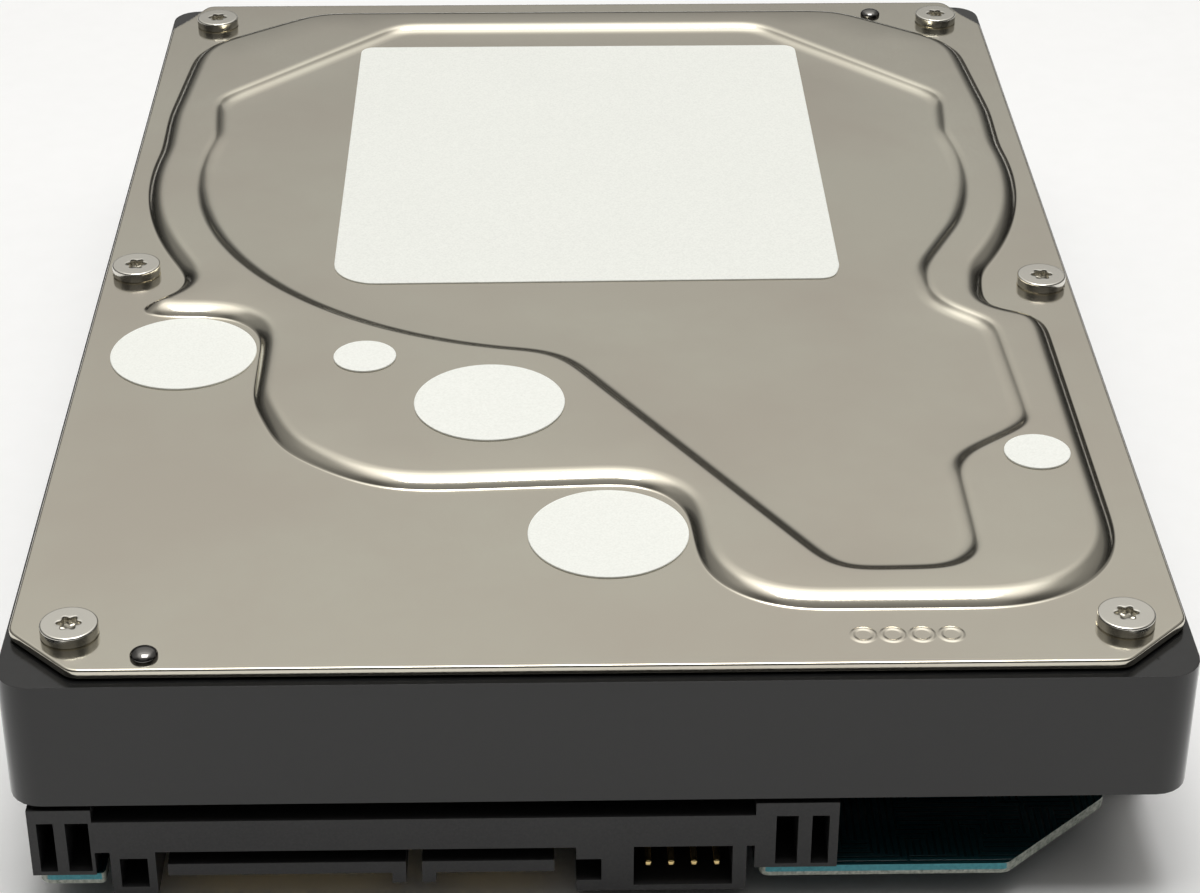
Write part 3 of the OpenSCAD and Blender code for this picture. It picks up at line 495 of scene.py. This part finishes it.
def metal(slot, color, tint, roughness, grain=(1, 1, 1), grain_scale=1.0, depth=0.002, wander=0.0):
    """Plated or bare metal: stained colour, grain in the gloss and relief, and a slow waviness."""
    finish = Finish(slot, roughness, metallic=1.0)
    clouds = finish.noise(STAIN_SCALE, detail=4, roughness=0.6)
    fine = finish.noise(grain_scale, detail=3, stretch=grain)
    stained = finish.blend(finish.span(clouds, 0.35, 0.65, 0, 1), color, tint)
    worn = finish.blend(finish.span(fine, 0.3, 0.7, 0, 0.25), stained, tint)
    finish.wear(worn, "Base Color")
    rough = finish.math("ADD", finish.span(fine, 0.3, 0.7, roughness * 0.8, roughness * 1.15),
                        finish.span(clouds, 0.3, 0.7, 0, roughness * 0.15))
    finish.wear(rough, "Roughness")
    relief = fine
    if wander:
        slow = finish.noise(WAVE_SCALE, detail=1)
        relief = finish.math("ADD", finish.math("MULTIPLY", slow, wander / depth), fine)
    finish.bump(relief, depth)
    materials[slot] = finish.material


metal("cover_plate", (0.66, 0.635, 0.54), (0.62, 0.575, 0.49), 0.14,
      grain=(1, 0.3, 1), grain_scale=6.0, depth=0.0012, wander=0.05)
metal("screw_steel", (0.80, 0.775, 0.70), (0.70, 0.675, 0.62), 0.14, grain_scale=5, depth=0.001)
metal("machined_aluminium", (0.74, 0.745, 0.76), (0.66, 0.67, 0.69), 0.28, grain_scale=6)
metal("bearing_bronze", (0.62, 0.46, 0.22), (0.48, 0.34, 0.16), 0.38, grain_scale=8)
metal("ground_steel", (0.72, 0.72, 0.74), (0.62, 0.62, 0.65), 0.18, grain=(1, 1, 0.1), grain_scale=9)
metal("lamination_steel", (0.42, 0.42, 0.45), (0.28, 0.28, 0.31), 0.35, grain=(0.2, 0.2, 1),
      grain_scale=4, depth=0.01)
metal("copper_wire", (0.72, 0.33, 0.14), (0.52, 0.19, 0.08), 0.3, grain=(1, 1, 5), grain_scale=1.6,
      depth=0.03)
metal("magnet_nickel", (0.66, 0.65, 0.62), (0.55, 0.54, 0.52), 0.22, grain_scale=7)
metal("platter_mirror", (0.80, 0.80, 0.82), (0.76, 0.76, 0.79), 0.03, grain_scale=12, depth=0.0001)
metal("spring_steel", (0.74, 0.74, 0.76), (0.66, 0.66, 0.69), 0.16, grain=(1, 0.2, 1), grain_scale=6)
metal("dowel_steel", (0.20, 0.195, 0.185), (0.13, 0.125, 0.12), 0.08, grain_scale=7, depth=0.0005)
metal("contact_gold", (0.90, 0.70, 0.34), (0.76, 0.54, 0.22), 0.2, grain_scale=6, depth=0.001)

# %% [markdown]
# ### Paint, plastic, paper and cloth
#
# The tub is cast aluminium under a semi-gloss black coat, with the faint orange peel of paint
# that has flowed and set. Moulded nylon is duller and has the fine sparkle of its glass filling.
# Labels are film: nearly smooth, with a hint of fibre. All of these are one recipe of two colours,
# a grain and a gloss.

# %% Coated and moulded finishes
CLOUD_SCALE = 0.08


def coated(slot, color, fleck, roughness, scale, depth, specular=0.5, coat=0.0, sheen=0.0,
           detail=3.0, stretch=(1, 1, 1)):
    """Paint, plastic, paper or cloth: a colour flecked with a second one by the same grain
    that makes the relief, and a gloss that varies with slow clouds."""
    finish = Finish(slot, roughness, specular=specular, coat=coat, sheen=sheen)
    grain = finish.noise(scale, detail=detail, stretch=stretch)
    clouds = finish.noise(CLOUD_SCALE, detail=3)
    finish.wear(finish.blend(finish.span(grain, 0.35, 0.75, 0, 1), color, fleck), "Base Color")
    finish.wear(finish.span(clouds, 0.3, 0.7, roughness * 0.9, roughness * 1.1), "Roughness")
    finish.bump(grain, depth)
    materials[slot] = finish.material


coated("casting_paint", (0.012, 0.012, 0.012), (0.015, 0.015, 0.015), 0.16, 1.2, 0.0015)
coated("gasket_rubber", (0.03, 0.03, 0.03), (0.045, 0.045, 0.045), 0.7, 6, 0.01)
coated("label_paper", (0.87, 0.88, 0.83), (0.77, 0.78, 0.735), 0.5, 5, 0.002, specular=0.3)
coated("seal_film", (0.91, 0.92, 0.87), (0.82, 0.83, 0.78), 0.45, 5, 0.002, specular=0.3)
coated("plug_plastic", (0.020, 0.020, 0.0205), (0.030, 0.029, 0.029), 0.42, 5, 0.005,
       specular=0.4)
coated("chip_epoxy", (0.03, 0.03, 0.032), (0.05, 0.05, 0.052), 0.6, 6, 0.006)
coated("ceramic_tan", (0.50, 0.38, 0.22), (0.58, 0.46, 0.30), 0.45, 3, 0.004)
coated("socket_plastic", (0.78, 0.75, 0.65), (0.72, 0.69, 0.58), 0.45, 4, 0.004)
coated("board_foam", (0.10, 0.10, 0.11), (0.03, 0.03, 0.035), 0.9, 2.5, 0.15, specular=0.2)
coated("slider_ceramic", (0.09, 0.09, 0.10), (0.14, 0.14, 0.15), 0.3, 8, 0.001)
coated("flex_film", (0.55, 0.27, 0.07), (0.72, 0.40, 0.14), 0.3, 1.4, 0.01, coat=0.5,
       stretch=(0.1, 0.1, 3))
coated("ramp_plastic", (0.82, 0.79, 0.70), (0.76, 0.73, 0.63), 0.35, 2, 0.003)
coated("filter_cloth", (0.88, 0.88, 0.84), (0.78, 0.78, 0.73), 0.9, 4, 0.08, specular=0.2,
       sheen=0.3, stretch=(1, 1, 0.3))

# %% [markdown]
# ### The circuit board
#
# A board is woven glass in resin, sheared at its edges and covered by a coloured mask on both
# faces. The mask shows the copper beneath it as slightly lighter tracks. Here the mask's blue-green
# is painted nearly black on both faces, as painted shade for the shade under the tub. The recipe
# asks which way a face looks: level faces get the mask and its tracks, upright ones the cut
# laminate. A cut is pale and broken, except on the straight front edge, where resin fills its upper
# part.
#
# The tracks are the waves |sin(5 x)| or |sin(5 y)|, and a pattern of square blocks chooses
# between the two, so that the tracks turn from block to block as routed ones do.

# %% Board laminate
BLOCK_SCALE, TRACK_WAVE, TRACK_DEPTH = 0.28, 5.0, 0.02
RESIN_FOOT, RESIN_FULL = 0.38, 0.46


def tracks(finish, place):
    """Lines that run along X in some blocks and along Y in the others, from 0 to 1."""
    blocks = finish.add("ShaderNodeTexVoronoi", {"Vector": finish.place, "Scale": BLOCK_SCALE},
                        feature="F1", distance="CHEBYCHEV").outputs["Color"]
    which = finish.add("ShaderNodeSeparateXYZ", {0: blocks}).outputs["X"]
    across, along = (finish.math("ABSOLUTE", finish.math("SINE", finish.math(
        "MULTIPLY", place[axis], TRACK_WAVE))) for axis in "XY")
    chosen = finish.span(which, 0.49, 0.51, 0, 1)
    line = finish.math("ADD", finish.math("MULTIPLY", across, chosen), finish.math(
        "MULTIPLY", along, finish.math("SUBTRACT", 1.0, chosen)))
    return finish.span(line, 0.45, 0.6, 0, 1)


def laminate(slot):
    """Blue-green mask in painted shade over tracks on level faces, a mask-coloured and a broken band
    on cut ones.
    """
    finish = Finish(slot, 0.22)
    place = finish.add("ShaderNodeSeparateXYZ", {0: finish.place}).outputs
    track = tracks(finish, place)
    # Both mask colours are painted nearly black: painted shade for the shade under the tub, on top and
    # underside alike.
    mask_in_painted_shade = finish.blend(track, (0.004, 0.022, 0.027), (0.007, 0.040, 0.047))
    fibre = finish.span(finish.noise(3.0, detail=3, stretch=(1, 0.3, 1)), 0.3, 0.7, 0, 1)
    broken = finish.blend(fibre, (0.20, 0.23, 0.19), (0.55, 0.57, 0.50))
    resin = finish.blend(fibre, (0.035, 0.26, 0.31), (0.06, 0.36, 0.42))
    underside = low("circuit_board", Z) / MM
    upper = finish.span(place["Z"], underside + RESIN_FOOT, underside + RESIN_FULL, 0, 1)
    front = finish.span(finish.facing("Y"), 0.9, 0.95, 0, 1)
    cut = finish.blend(finish.math("MULTIPLY", upper, front), broken, resin)
    level = finish.span(finish.facing("Z"), 0.4, 0.6, 0, 1)
    finish.wear(finish.blend(level, cut, mask_in_painted_shade), "Base Color")
    finish.bump(track, TRACK_DEPTH)
    materials[slot] = finish.material


laminate("board_laminate")
print("finishes:", len(materials))

# %% [markdown]
# Parts whose shape is already right keep their CAD mesh and only take their finish. The record
# says which slot each part uses, so this is one loop over it.

# %% Finish the carried-over parts
slot_of = {row["node"]: row["material_slot"] for row in frame["record"]["subparts"]}
for node, obj in frame["nodes"].items():
    obj.data.materials.clear()
    obj.data.materials.append(materials[slot_of[node]])
print("slots without a finish:", sorted(set(slot_of.values()) - set(materials)))

# %% [markdown]
# ## The cover
#
# The cover is one sheet of steel drawn in a press. Where it steps up to the plateau it turns
# twice: a tight inside radius at the foot, where the punch pressed it, and a wide soft roll at
# the top, where it flowed over the die. Two arcs that meet on the slope describe that step
# exactly. Their radii add up to (run² + rise²) / (2 rise), and the slope leans by twice the
# angle whose tangent is rise / run. The panel steps down in the same way, with two gentler arcs.

# %% Section of a pressed step
APRON = 0.25 * MM


def pressed_step(run, rise, foot, samples=10):
    """Offsets and heights of a step: a level apron, then the foot arc and the roll arc."""
    roll = (run**2 + rise**2) / (2 * rise) - foot
    lean = 2 * math.atan(rise / run)
    turn = np.linspace(0, lean, samples)
    low_arc = np.column_stack([foot * np.sin(turn), foot * (1 - np.cos(turn))])
    back = lean - turn[1:]
    high_arc = np.column_stack([run - roll * np.sin(back), rise - roll * (1 - np.cos(back))])
    return np.vstack([[-APRON, 0], low_arc, high_arc])


def rounded_edge(radius, top, bottom, run_in, samples=5):
    """Section of a cut edge from an inner point on the top, over a round, down and under."""
    turn = np.linspace(0, np.pi / 2, samples)
    over = np.column_stack([radius * (1 - np.sin(turn)), top - radius * (1 - np.cos(turn))])
    under = np.column_stack([radius * 0.5 * (1 - np.cos(turn)),
                             bottom + radius * 0.5 * (1 - np.sin(turn))])
    return np.vstack([[run_in, top], over, under, [run_in, bottom]])


STEP_RUN = 2.3 * MM
PLATEAU_FOOT, PANEL_FOOT = 0.45 * MM, 1.4 * MM
plateau_step = pressed_step(STEP_RUN, plateau_z - flange_z, PLATEAU_FOOT)
panel_step = pressed_step(STEP_RUN, plateau_z - panel_z, PANEL_FOOT)
print("plateau step:", len(plateau_step), "points; panel step:", len(panel_step), "points")

# %% [markdown]
# A step is carried from an outline to the same outline moved inward by the step's run. Where a
# bend is tighter than the run, the moved outline would fold over itself, so the points that come
# too near to the first outline are drawn together between their good neighbours.

# %% Steps that don't fold
CLOSE = 0.98


def narrowed(loop, distance):
    """The outline moved inward, with the points that fold over replaced by a straight blend."""
    moved = shifted(loop, distance)
    gap = np.abs((moved[:, 0] + 1j * moved[:, 1])[:, None] - (loop[:, 0] + 1j * loop[:, 1]))
    good = gap.min(axis=1) > CLOSE * distance
    at = np.arange(len(loop))
    kept = at[good]
    return np.column_stack([np.interp(at, kept, moved[good, k], period=len(loop)) for k in (0, 1)])


def stepped(loop, target, profile):
    """P(i, j) = outline(i) + offset(j) / run * (target(i) - outline(i)), at height(j)."""
    offset, height = np.asarray(profile, float).T
    share = offset / STEP_RUN
    flat = loop[:, None, :] + share[None, :, None] * (target - loop)[:, None, :]
    up = np.broadcast_to(height[None, :, None], flat.shape[:2] + (1,))
    return np.concatenate([flat, up], axis=2)


# %% [markdown]
# The top of the cover is then five surfaces that share their borders: the flange, the plateau's
# step, the plateau, the panel's step and the panel. The underside is the same five, one sheet
# thickness lower and turned over, and the cut edge closes the two. The cut edge keeps its
# outline nearly as it is, while the two pressed outlines are softened until their bends flow.

# %% Walls of the cover
EDGE_BLUR, PLATEAU_BLUR, PANEL_BLUR = 0.25 * MM, 1.5 * MM, 1.3 * MM
EDGE_ROUND, EDGE_MARGIN = 0.22 * MM, 0.35 * MM

cover_edge = flowing(at_flange[0], blur=EDGE_BLUR)
plateau_foot = flowing(at_flange[1], blur=PLATEAU_BLUR)
panel_edge = flowing(at_plateau[1], blur=PANEL_BLUR)

edge_wall = carried(cover_edge, rounded_edge(EDGE_ROUND, flange_z, flange_z - sheet, EDGE_MARGIN))
plateau_wall = stepped(plateau_foot, narrowed(plateau_foot, STEP_RUN),
                       plateau_step + [0, flange_z])
panel_wall = stepped(panel_edge, narrowed(panel_edge, STEP_RUN),
                     panel_step * [1, -1] + [0, plateau_z])
print("wall grids:", edge_wall.shape, plateau_wall.shape, panel_wall.shape)

# %% Gather the cover
cover = Parts()
cover.grid(edge_wall)
for drop, flip in ((0.0, False), (sheet, True)):
    lowered = np.array([0, 0, drop])
    cover.grid(plateau_wall - lowered, flip)
    cover.grid(panel_wall - lowered, flip)
    cover.sheet([edge_wall[:, 0, :2], plateau_wall[:, 0, :2]], flange_z - drop, flip)
    cover.sheet([plateau_wall[:, -1, :2], panel_wall[:, 0, :2]], plateau_z - drop, flip)
    cover.sheet([panel_wall[:, -1, :2]], panel_z - drop, flip)

# %% [markdown]
# A punch leaves small raised marks near a cover's front edge. Here they are four plain rings.
# Their section is a cos² hump, which starts and ends level with the sheet, so a ring needs no
# seam where it rises from the flange. They belong to the sheet and are gathered with it.

# %% Stamped rings, and the finished cover
RING_RADIUS, RING_WIDTH, RING_RISE = 0.95 * MM, 0.3 * MM, 0.07 * MM
FIRST_RING, RING_PITCH, RING_SETBACK, RINGS = 22.4 * MM, 2.5 * MM, 4.1 * MM, 4


def ring(radius, width, rise, samples=7):
    """Section of a raised ring: height = rise * cos² of a half turn across its width."""
    across = np.linspace(-1, 1, samples)
    return np.column_stack([radius + across * width, rise * np.cos(across * np.pi / 2) ** 2])


stamp = turned(ring(RING_RADIUS, RING_WIDTH, RING_RISE), around=48)
for k in range(RINGS):
    place = [FIRST_RING + k * RING_PITCH, low("top_cover", Y) + RING_SETBACK, flange_z]
    cover.grid(stamp + place, flip=True)
piece("pressed_cover", cover, "drive_body", "cover_plate", ["top_cover"], sharp=50)

# %% [markdown]
# ## Label and seals
#
# The label is a sheet of film with die-cut, slightly rounded corners, left blank here. Round
# film seals close the ports that were used to write the servo tracks and to let air through the
# filter. Both are thin enough to need only a level top and a rounded edge.

# %% Build the label and seals
def disc_places(node):
    """Centre of each separate solid of a node, from its merged copy."""
    mesh = merged(node)
    left, places = set(mesh.verts), []
    while left:
        heap, solid = [left.pop()], []
        while heap:
            vert = heap.pop()
            solid.append(vert.co.copy())
            near = {e.other_vert(vert) for e in vert.link_edges} & left
            left -= near
            heap.extend(near)
        corners = np.array(solid)
        places.append((*(corners.min(axis=0) + corners.max(axis=0))[:2] / 2,
                       corners[:, 2].min(), corners[:, 2].max()))
    mesh.free()
    return np.array(places)


def domed(loop, rows):
    """P(i, j) = centre + share(j) * (outline(i) - centre) + offset(j) * inward(i), at height(j)."""
    share, offset, height = np.asarray(rows, float).T
    centre = loop.mean(axis=0)
    flat = (centre + share[None, :, None] * (loop - centre)[:, None, :]
            + offset[None, :, None] * inward(loop)[:, None, :])
    up = np.broadcast_to(height[None, :, None], flat.shape[:2] + (1,))
    return np.concatenate([flat, up], axis=2)


FILM_BLUR = 0.2 * MM


def film_rows(base, top, round_off):
    """Shares, offsets and heights from the middle of a film's top to the middle of its base."""
    turn = np.linspace(0, np.pi / 2, 4)
    rows = [[share, 0, top] for share in (0, 0.15, 0.4, 0.65, 0.85, 0.94)]
    rows += [[1, 2 * round_off, top]]
    rows += [[1, round_off * (1 - math.sin(a)), top - round_off * (1 - math.cos(a))] for a in turn]
    return rows + [[1, 0, base], [0.5, 0, base], [0, 0, base]]


def film(name, node, round_off, slot):
    """Every film of a node, which may lie at different heights."""
    parts = Parts()
    places = disc_places(node)
    for base in sorted({round(place[2], 6) for place in places}):
        top = max(place[3] for place in places if abs(place[2] - base) < 0.01 * MM)
        for loop in outlines(node, base):
            soft = flowing(loop, blur=FILM_BLUR)
            parts.grid(domed(soft, film_rows(base, top, round_off)), flip=True)
    return piece(name, parts, "drive_body", slot, [node])


film("blank_label", "main_label", 0.05 * MM, "label_paper")
film("port_films_large", "large_port_seals", 0.06 * MM, "seal_film")
film("port_films_small", "small_port_seals", 0.06 * MM, "seal_film")

# %% [markdown]
# ## Screws
#
# A cover screw has a low flat head with a six-lobed recess. Seen from above it is a disc whose
# rings change shape: round at the rim, lobed at the recess. One turned profile does all of it,
# because the size of the lobes is a third column of the profile, next to radius and height. Head
# and shank are measured on the CAD screw, and the one grid is then moved to each screw's place.

# %% Section and sizes of a screw
LOBE, TIP = 0.17, 0.3
RIM = 0.18 * MM
CHAMFER_IN, CHAMFER_UP = 0.1 * MM, 0.12 * MM


def screw_profile(head, height, shank, length, recess):
    """Radius, height above the seat and size of lobes, from the recess's floor to the tip."""
    turn = np.linspace(0, np.pi / 2, 6)
    rows = [[0, height * 0.3, 0], [recess * 0.7, height * 0.3, LOBE],
            [recess * 0.96, height * 0.36, LOBE], [recess, height * 0.9, LOBE],
            [recess * 1.05, height * 0.985, LOBE], [recess * 1.12, height, LOBE * 0.9],
            [recess * 1.35, height, 0.03], [head - RIM * 1.6, height, 0]]
    rows += [[head - RIM + RIM * math.sin(a), height - RIM + RIM * math.cos(a), 0] for a in turn]
    tip = -length - shank * TIP
    rows += [[head, CHAMFER_UP, 0], [head - CHAMFER_IN, 0, 0], [shank, 0, 0],
             [shank, -length, 0], [shank * (1 - TIP), tip, 0], [0, tip, 0]]
    return np.array(rows)


NEAR = 4 * MM


def screw_sizes(node, x, y, up):
    """Head radius, head height, shank radius, shank length and seat of the screw at a place."""
    points = np.array([v.co for v in frame["nodes"][node].data.vertices]) - [x, y, 0]
    reach, rise = np.hypot(points[:, 0], points[:, 1]), points[:, 2] * up
    near = reach < NEAR
    reach, rise = reach[near], rise[near]
    head = reach.max()
    seat = rise[reach > head - 0.01 * MM].min()
    shank = reach[rise < rise.min() + 0.01 * MM].max()
    return head, rise.max() - seat, shank, seat - rise.min(), seat * up


# %% Build the screws
def screws(name, node, recess, up=1, around=96):
    """All screws of a node as one piece; up is -1 for screws driven from below."""
    places = disc_places(node)
    head, height, shank, length, seat = screw_sizes(node, places[0, 0], places[0, 1], up)
    section = screw_profile(head, height, shank, length - shank * TIP, recess * head)
    grid = turned(section, around)
    parts = Parts()
    for x, y in places[:, :2]:
        parts.grid(grid * [1, 1, up] + [x, y, seat], flip=up < 0)
    print(f"{name}: heads {2 * head / MM:.1f} mm across, {height / MM:.2f} mm high")
    return piece(name, parts, frame["nodes"][node]["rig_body"], "screw_steel", [node], sharp=38)


screws("cover_screw_set", "cover_screws", 0.36)
screws("board_screw_set", "board_screws", 0.38, up=-1)
screws("bracket_screw_set", "bracket_screws", 0.39, up=-1, around=64)
screws("clamp_screw_set", "clamp_screws", 0.39, around=64)

# %% [markdown]
# ## Dowel pins
#
# Two polished pins line the cover up with the tub before the screws go in. Only their domes show.
# A dome is a quarter of an ellipse turned round the pin's axis, half as high as the pin's radius.

# %% Build the dowel pins
PIN_RADIUS, DOME_RISE = 1.2 * MM, 0.6 * MM
dome = np.linspace(0, np.pi / 2, 16)
pins = Parts()
for x, y, foot, top in disc_places("cover_dowel_pins"):
    section = [[0, foot], [PIN_RADIUS, foot]] + [
        [PIN_RADIUS * math.cos(a), top - DOME_RISE * (1 - math.sin(a))] for a in dome]
    pins.grid(turned(section, around=64) + [x, y, 0])
piece("dowel_pin_pair", pins, "drive_body", "screw_steel", ["cover_dowel_pins"],
      finish="dowel_steel")

# %% [markdown]
# ## Tub, plug and board
#
# These are softened copies. The tub has the widest radius because a casting needs draft and
# rounds to leave its die. The plug is injection moulded with crisp edges, the board is cut, and
# the jumper posts are square wire with tumbled ends.

# %% Build the tub, plug, board and posts
softened("cast_tub", "base_casting", 0.6 * MM, "casting_paint", segments=3)
softened("moulded_plug", "plug_housing", 0.15 * MM, "plug_plastic")
softened("laminate_board", "circuit_board", 0.06 * MM, "board_laminate")
softened("jumper_posts", "jumper_pins", 0.17 * MM, "contact_gold")

# %% [markdown]
# ## Floor, light and camera
#
# The floor is a plain pale sheet. The cover is a mirror of sorts, so the room is lit for what
# the cover sees: a warm grey backdrop low behind the drive, a large soft light above it, and
# darkness behind the camera that draws the pressed lines.

# %% Floor
FLOOR_HALF = 2.0
corners = np.array([[-1, -1, 0], [1, -1, 0], [1, 1, 0], [-1, 1, 0]]) * FLOOR_HALF
floor_mesh = bpy.data.meshes.new("floor")
floor_mesh.from_pydata((corners + [0, 0, cad_box[0][Z]]).tolist(), [], [[0, 1, 2, 3]])
floor = bpy.data.objects.new("floor", floor_mesh)
bpy.context.scene.collection.objects.link(floor)
coated("floor_paper", (0.97, 0.97, 0.968), (0.955, 0.955, 0.952), 0.7, 0.3, 0.002, specular=0.2)
floor_mesh.materials.append(materials["floor_paper"])

# %% [markdown]
# The room is a world shader of one value for each direction. A ramp gives the light at each angle
# above the horizon, and two soft steps dim it: one behind the camera and one to the left and
# right. A ramp ends at 1, so it holds half of each value and the strength doubles it again.

# %% Room
WARM = (1, 0.988, 0.955)


def room(stops, behind=0.2, flanks=0.42):
    """World light = ramp(angle above the horizon) * step(y) * step(|x|) of each direction."""
    world = bpy.data.worlds.new("studio")
    bpy.context.scene.world = world
    world.use_nodes = True
    tree = world.node_tree
    toward = wired(tree, "ShaderNodeTexCoord").outputs["Generated"]
    x, y, z = wired(tree, "ShaderNodeSeparateXYZ", {0: toward}).outputs

    def eased(value, low_in, high_in, low_out, high_out):
        """A soft step from one level to another."""
        return wired(tree, "ShaderNodeMapRange",
                     {"Value": value, "From Min": low_in, "From Max": high_in,
                      "To Min": low_out, "To Max": high_out},
                     interpolation_type="SMOOTHSTEP").outputs[0]

    ramp = wired(tree, "ShaderNodeValToRGB", {0: z})
    ramp.color_ramp.interpolation = "EASE"
    while len(ramp.color_ramp.elements) < len(stops):
        ramp.color_ramp.elements.new(0.5)
    for element, (angle, value) in zip(ramp.color_ramp.elements, stops):
        element.position = math.sin(math.radians(angle))
        element.color = (*(value * share / 2 for share in WARM), 1)
    depth = eased(y, -0.45, 0.15, behind * 2, 2)
    aside = wired(tree, "ShaderNodeMath", {0: x}, operation="ABSOLUTE").outputs[0]
    width = eased(aside, 0.28, 0.55, 1, flanks)
    both = wired(tree, "ShaderNodeMath", {0: depth, 1: width}, operation="MULTIPLY").outputs[0]
    back = tree.nodes["Background"]
    tree.links.new(ramp.outputs[0], back.inputs["Color"])
    tree.links.new(both, back.inputs["Strength"])


room([(0, 0.03), (8, 0.06), (16, 0.20), (24, 0.56), (35, 0.68), (50, 1.0), (62, 1.7), (90, 1.5)])

# %% Lamp
def lamp(name, place, size, power, aim=(0, 0, 0.02)):
    """A square soft light that looks at a point."""
    data = bpy.data.lights.new(name, "AREA")
    data.size = size
    data.energy = power
    obj = bpy.data.objects.new(name, data)
    bpy.context.scene.collection.objects.link(obj)
    away = np.array(place) - aim
    away /= np.linalg.norm(away)
    side = np.cross([0, 1, 0.001], away)
    side /= np.linalg.norm(side)
    turn = np.column_stack([side, np.cross(away, side), away])
    obj.matrix_world = Matrix.Translation(place) @ Matrix(turn.tolist()).to_4x4()


lamp("softbox", (0.0, -0.02, 0.8), 0.4, 3.4)

# %% [markdown]
# The camera looks down at the plug end. Its three turns are applied one after the other: tilt
# about its own horizontal, a small yaw about the vertical, and a trace of roll.

# %% Camera
EYE = np.array([-4.523, -268.512, 163.464]) * MM
TILT, YAW, ROLL = (math.radians(angle) for angle in (30.890, -1.286, 0.173))
FOCAL_LENGTH, SENSOR_WIDTH = 85.911, 36

about_z = Matrix.Rotation(YAW, 3, "Z")
forward = np.array(about_z @ Matrix.Rotation(-TILT, 3, "X").col[1])
level_right = np.array(about_z.col[0])
level_up = np.cross(level_right, forward)
right = math.cos(ROLL) * level_right + math.sin(ROLL) * level_up
up = math.cos(ROLL) * level_up - math.sin(ROLL) * level_right
lens = bpy.data.cameras.new("camera")
lens.lens = FOCAL_LENGTH
lens.sensor_width = SENSOR_WIDTH
camera = bpy.data.objects.new("camera", lens)
bpy.context.scene.collection.objects.link(camera)
camera.matrix_world = (Matrix.Translation(EYE)
                       @ Matrix(np.column_stack([right, up, -forward]).tolist()).to_4x4())
bpy.context.scene.camera = camera
bpy.context.scene.view_settings.view_transform = "Standard"
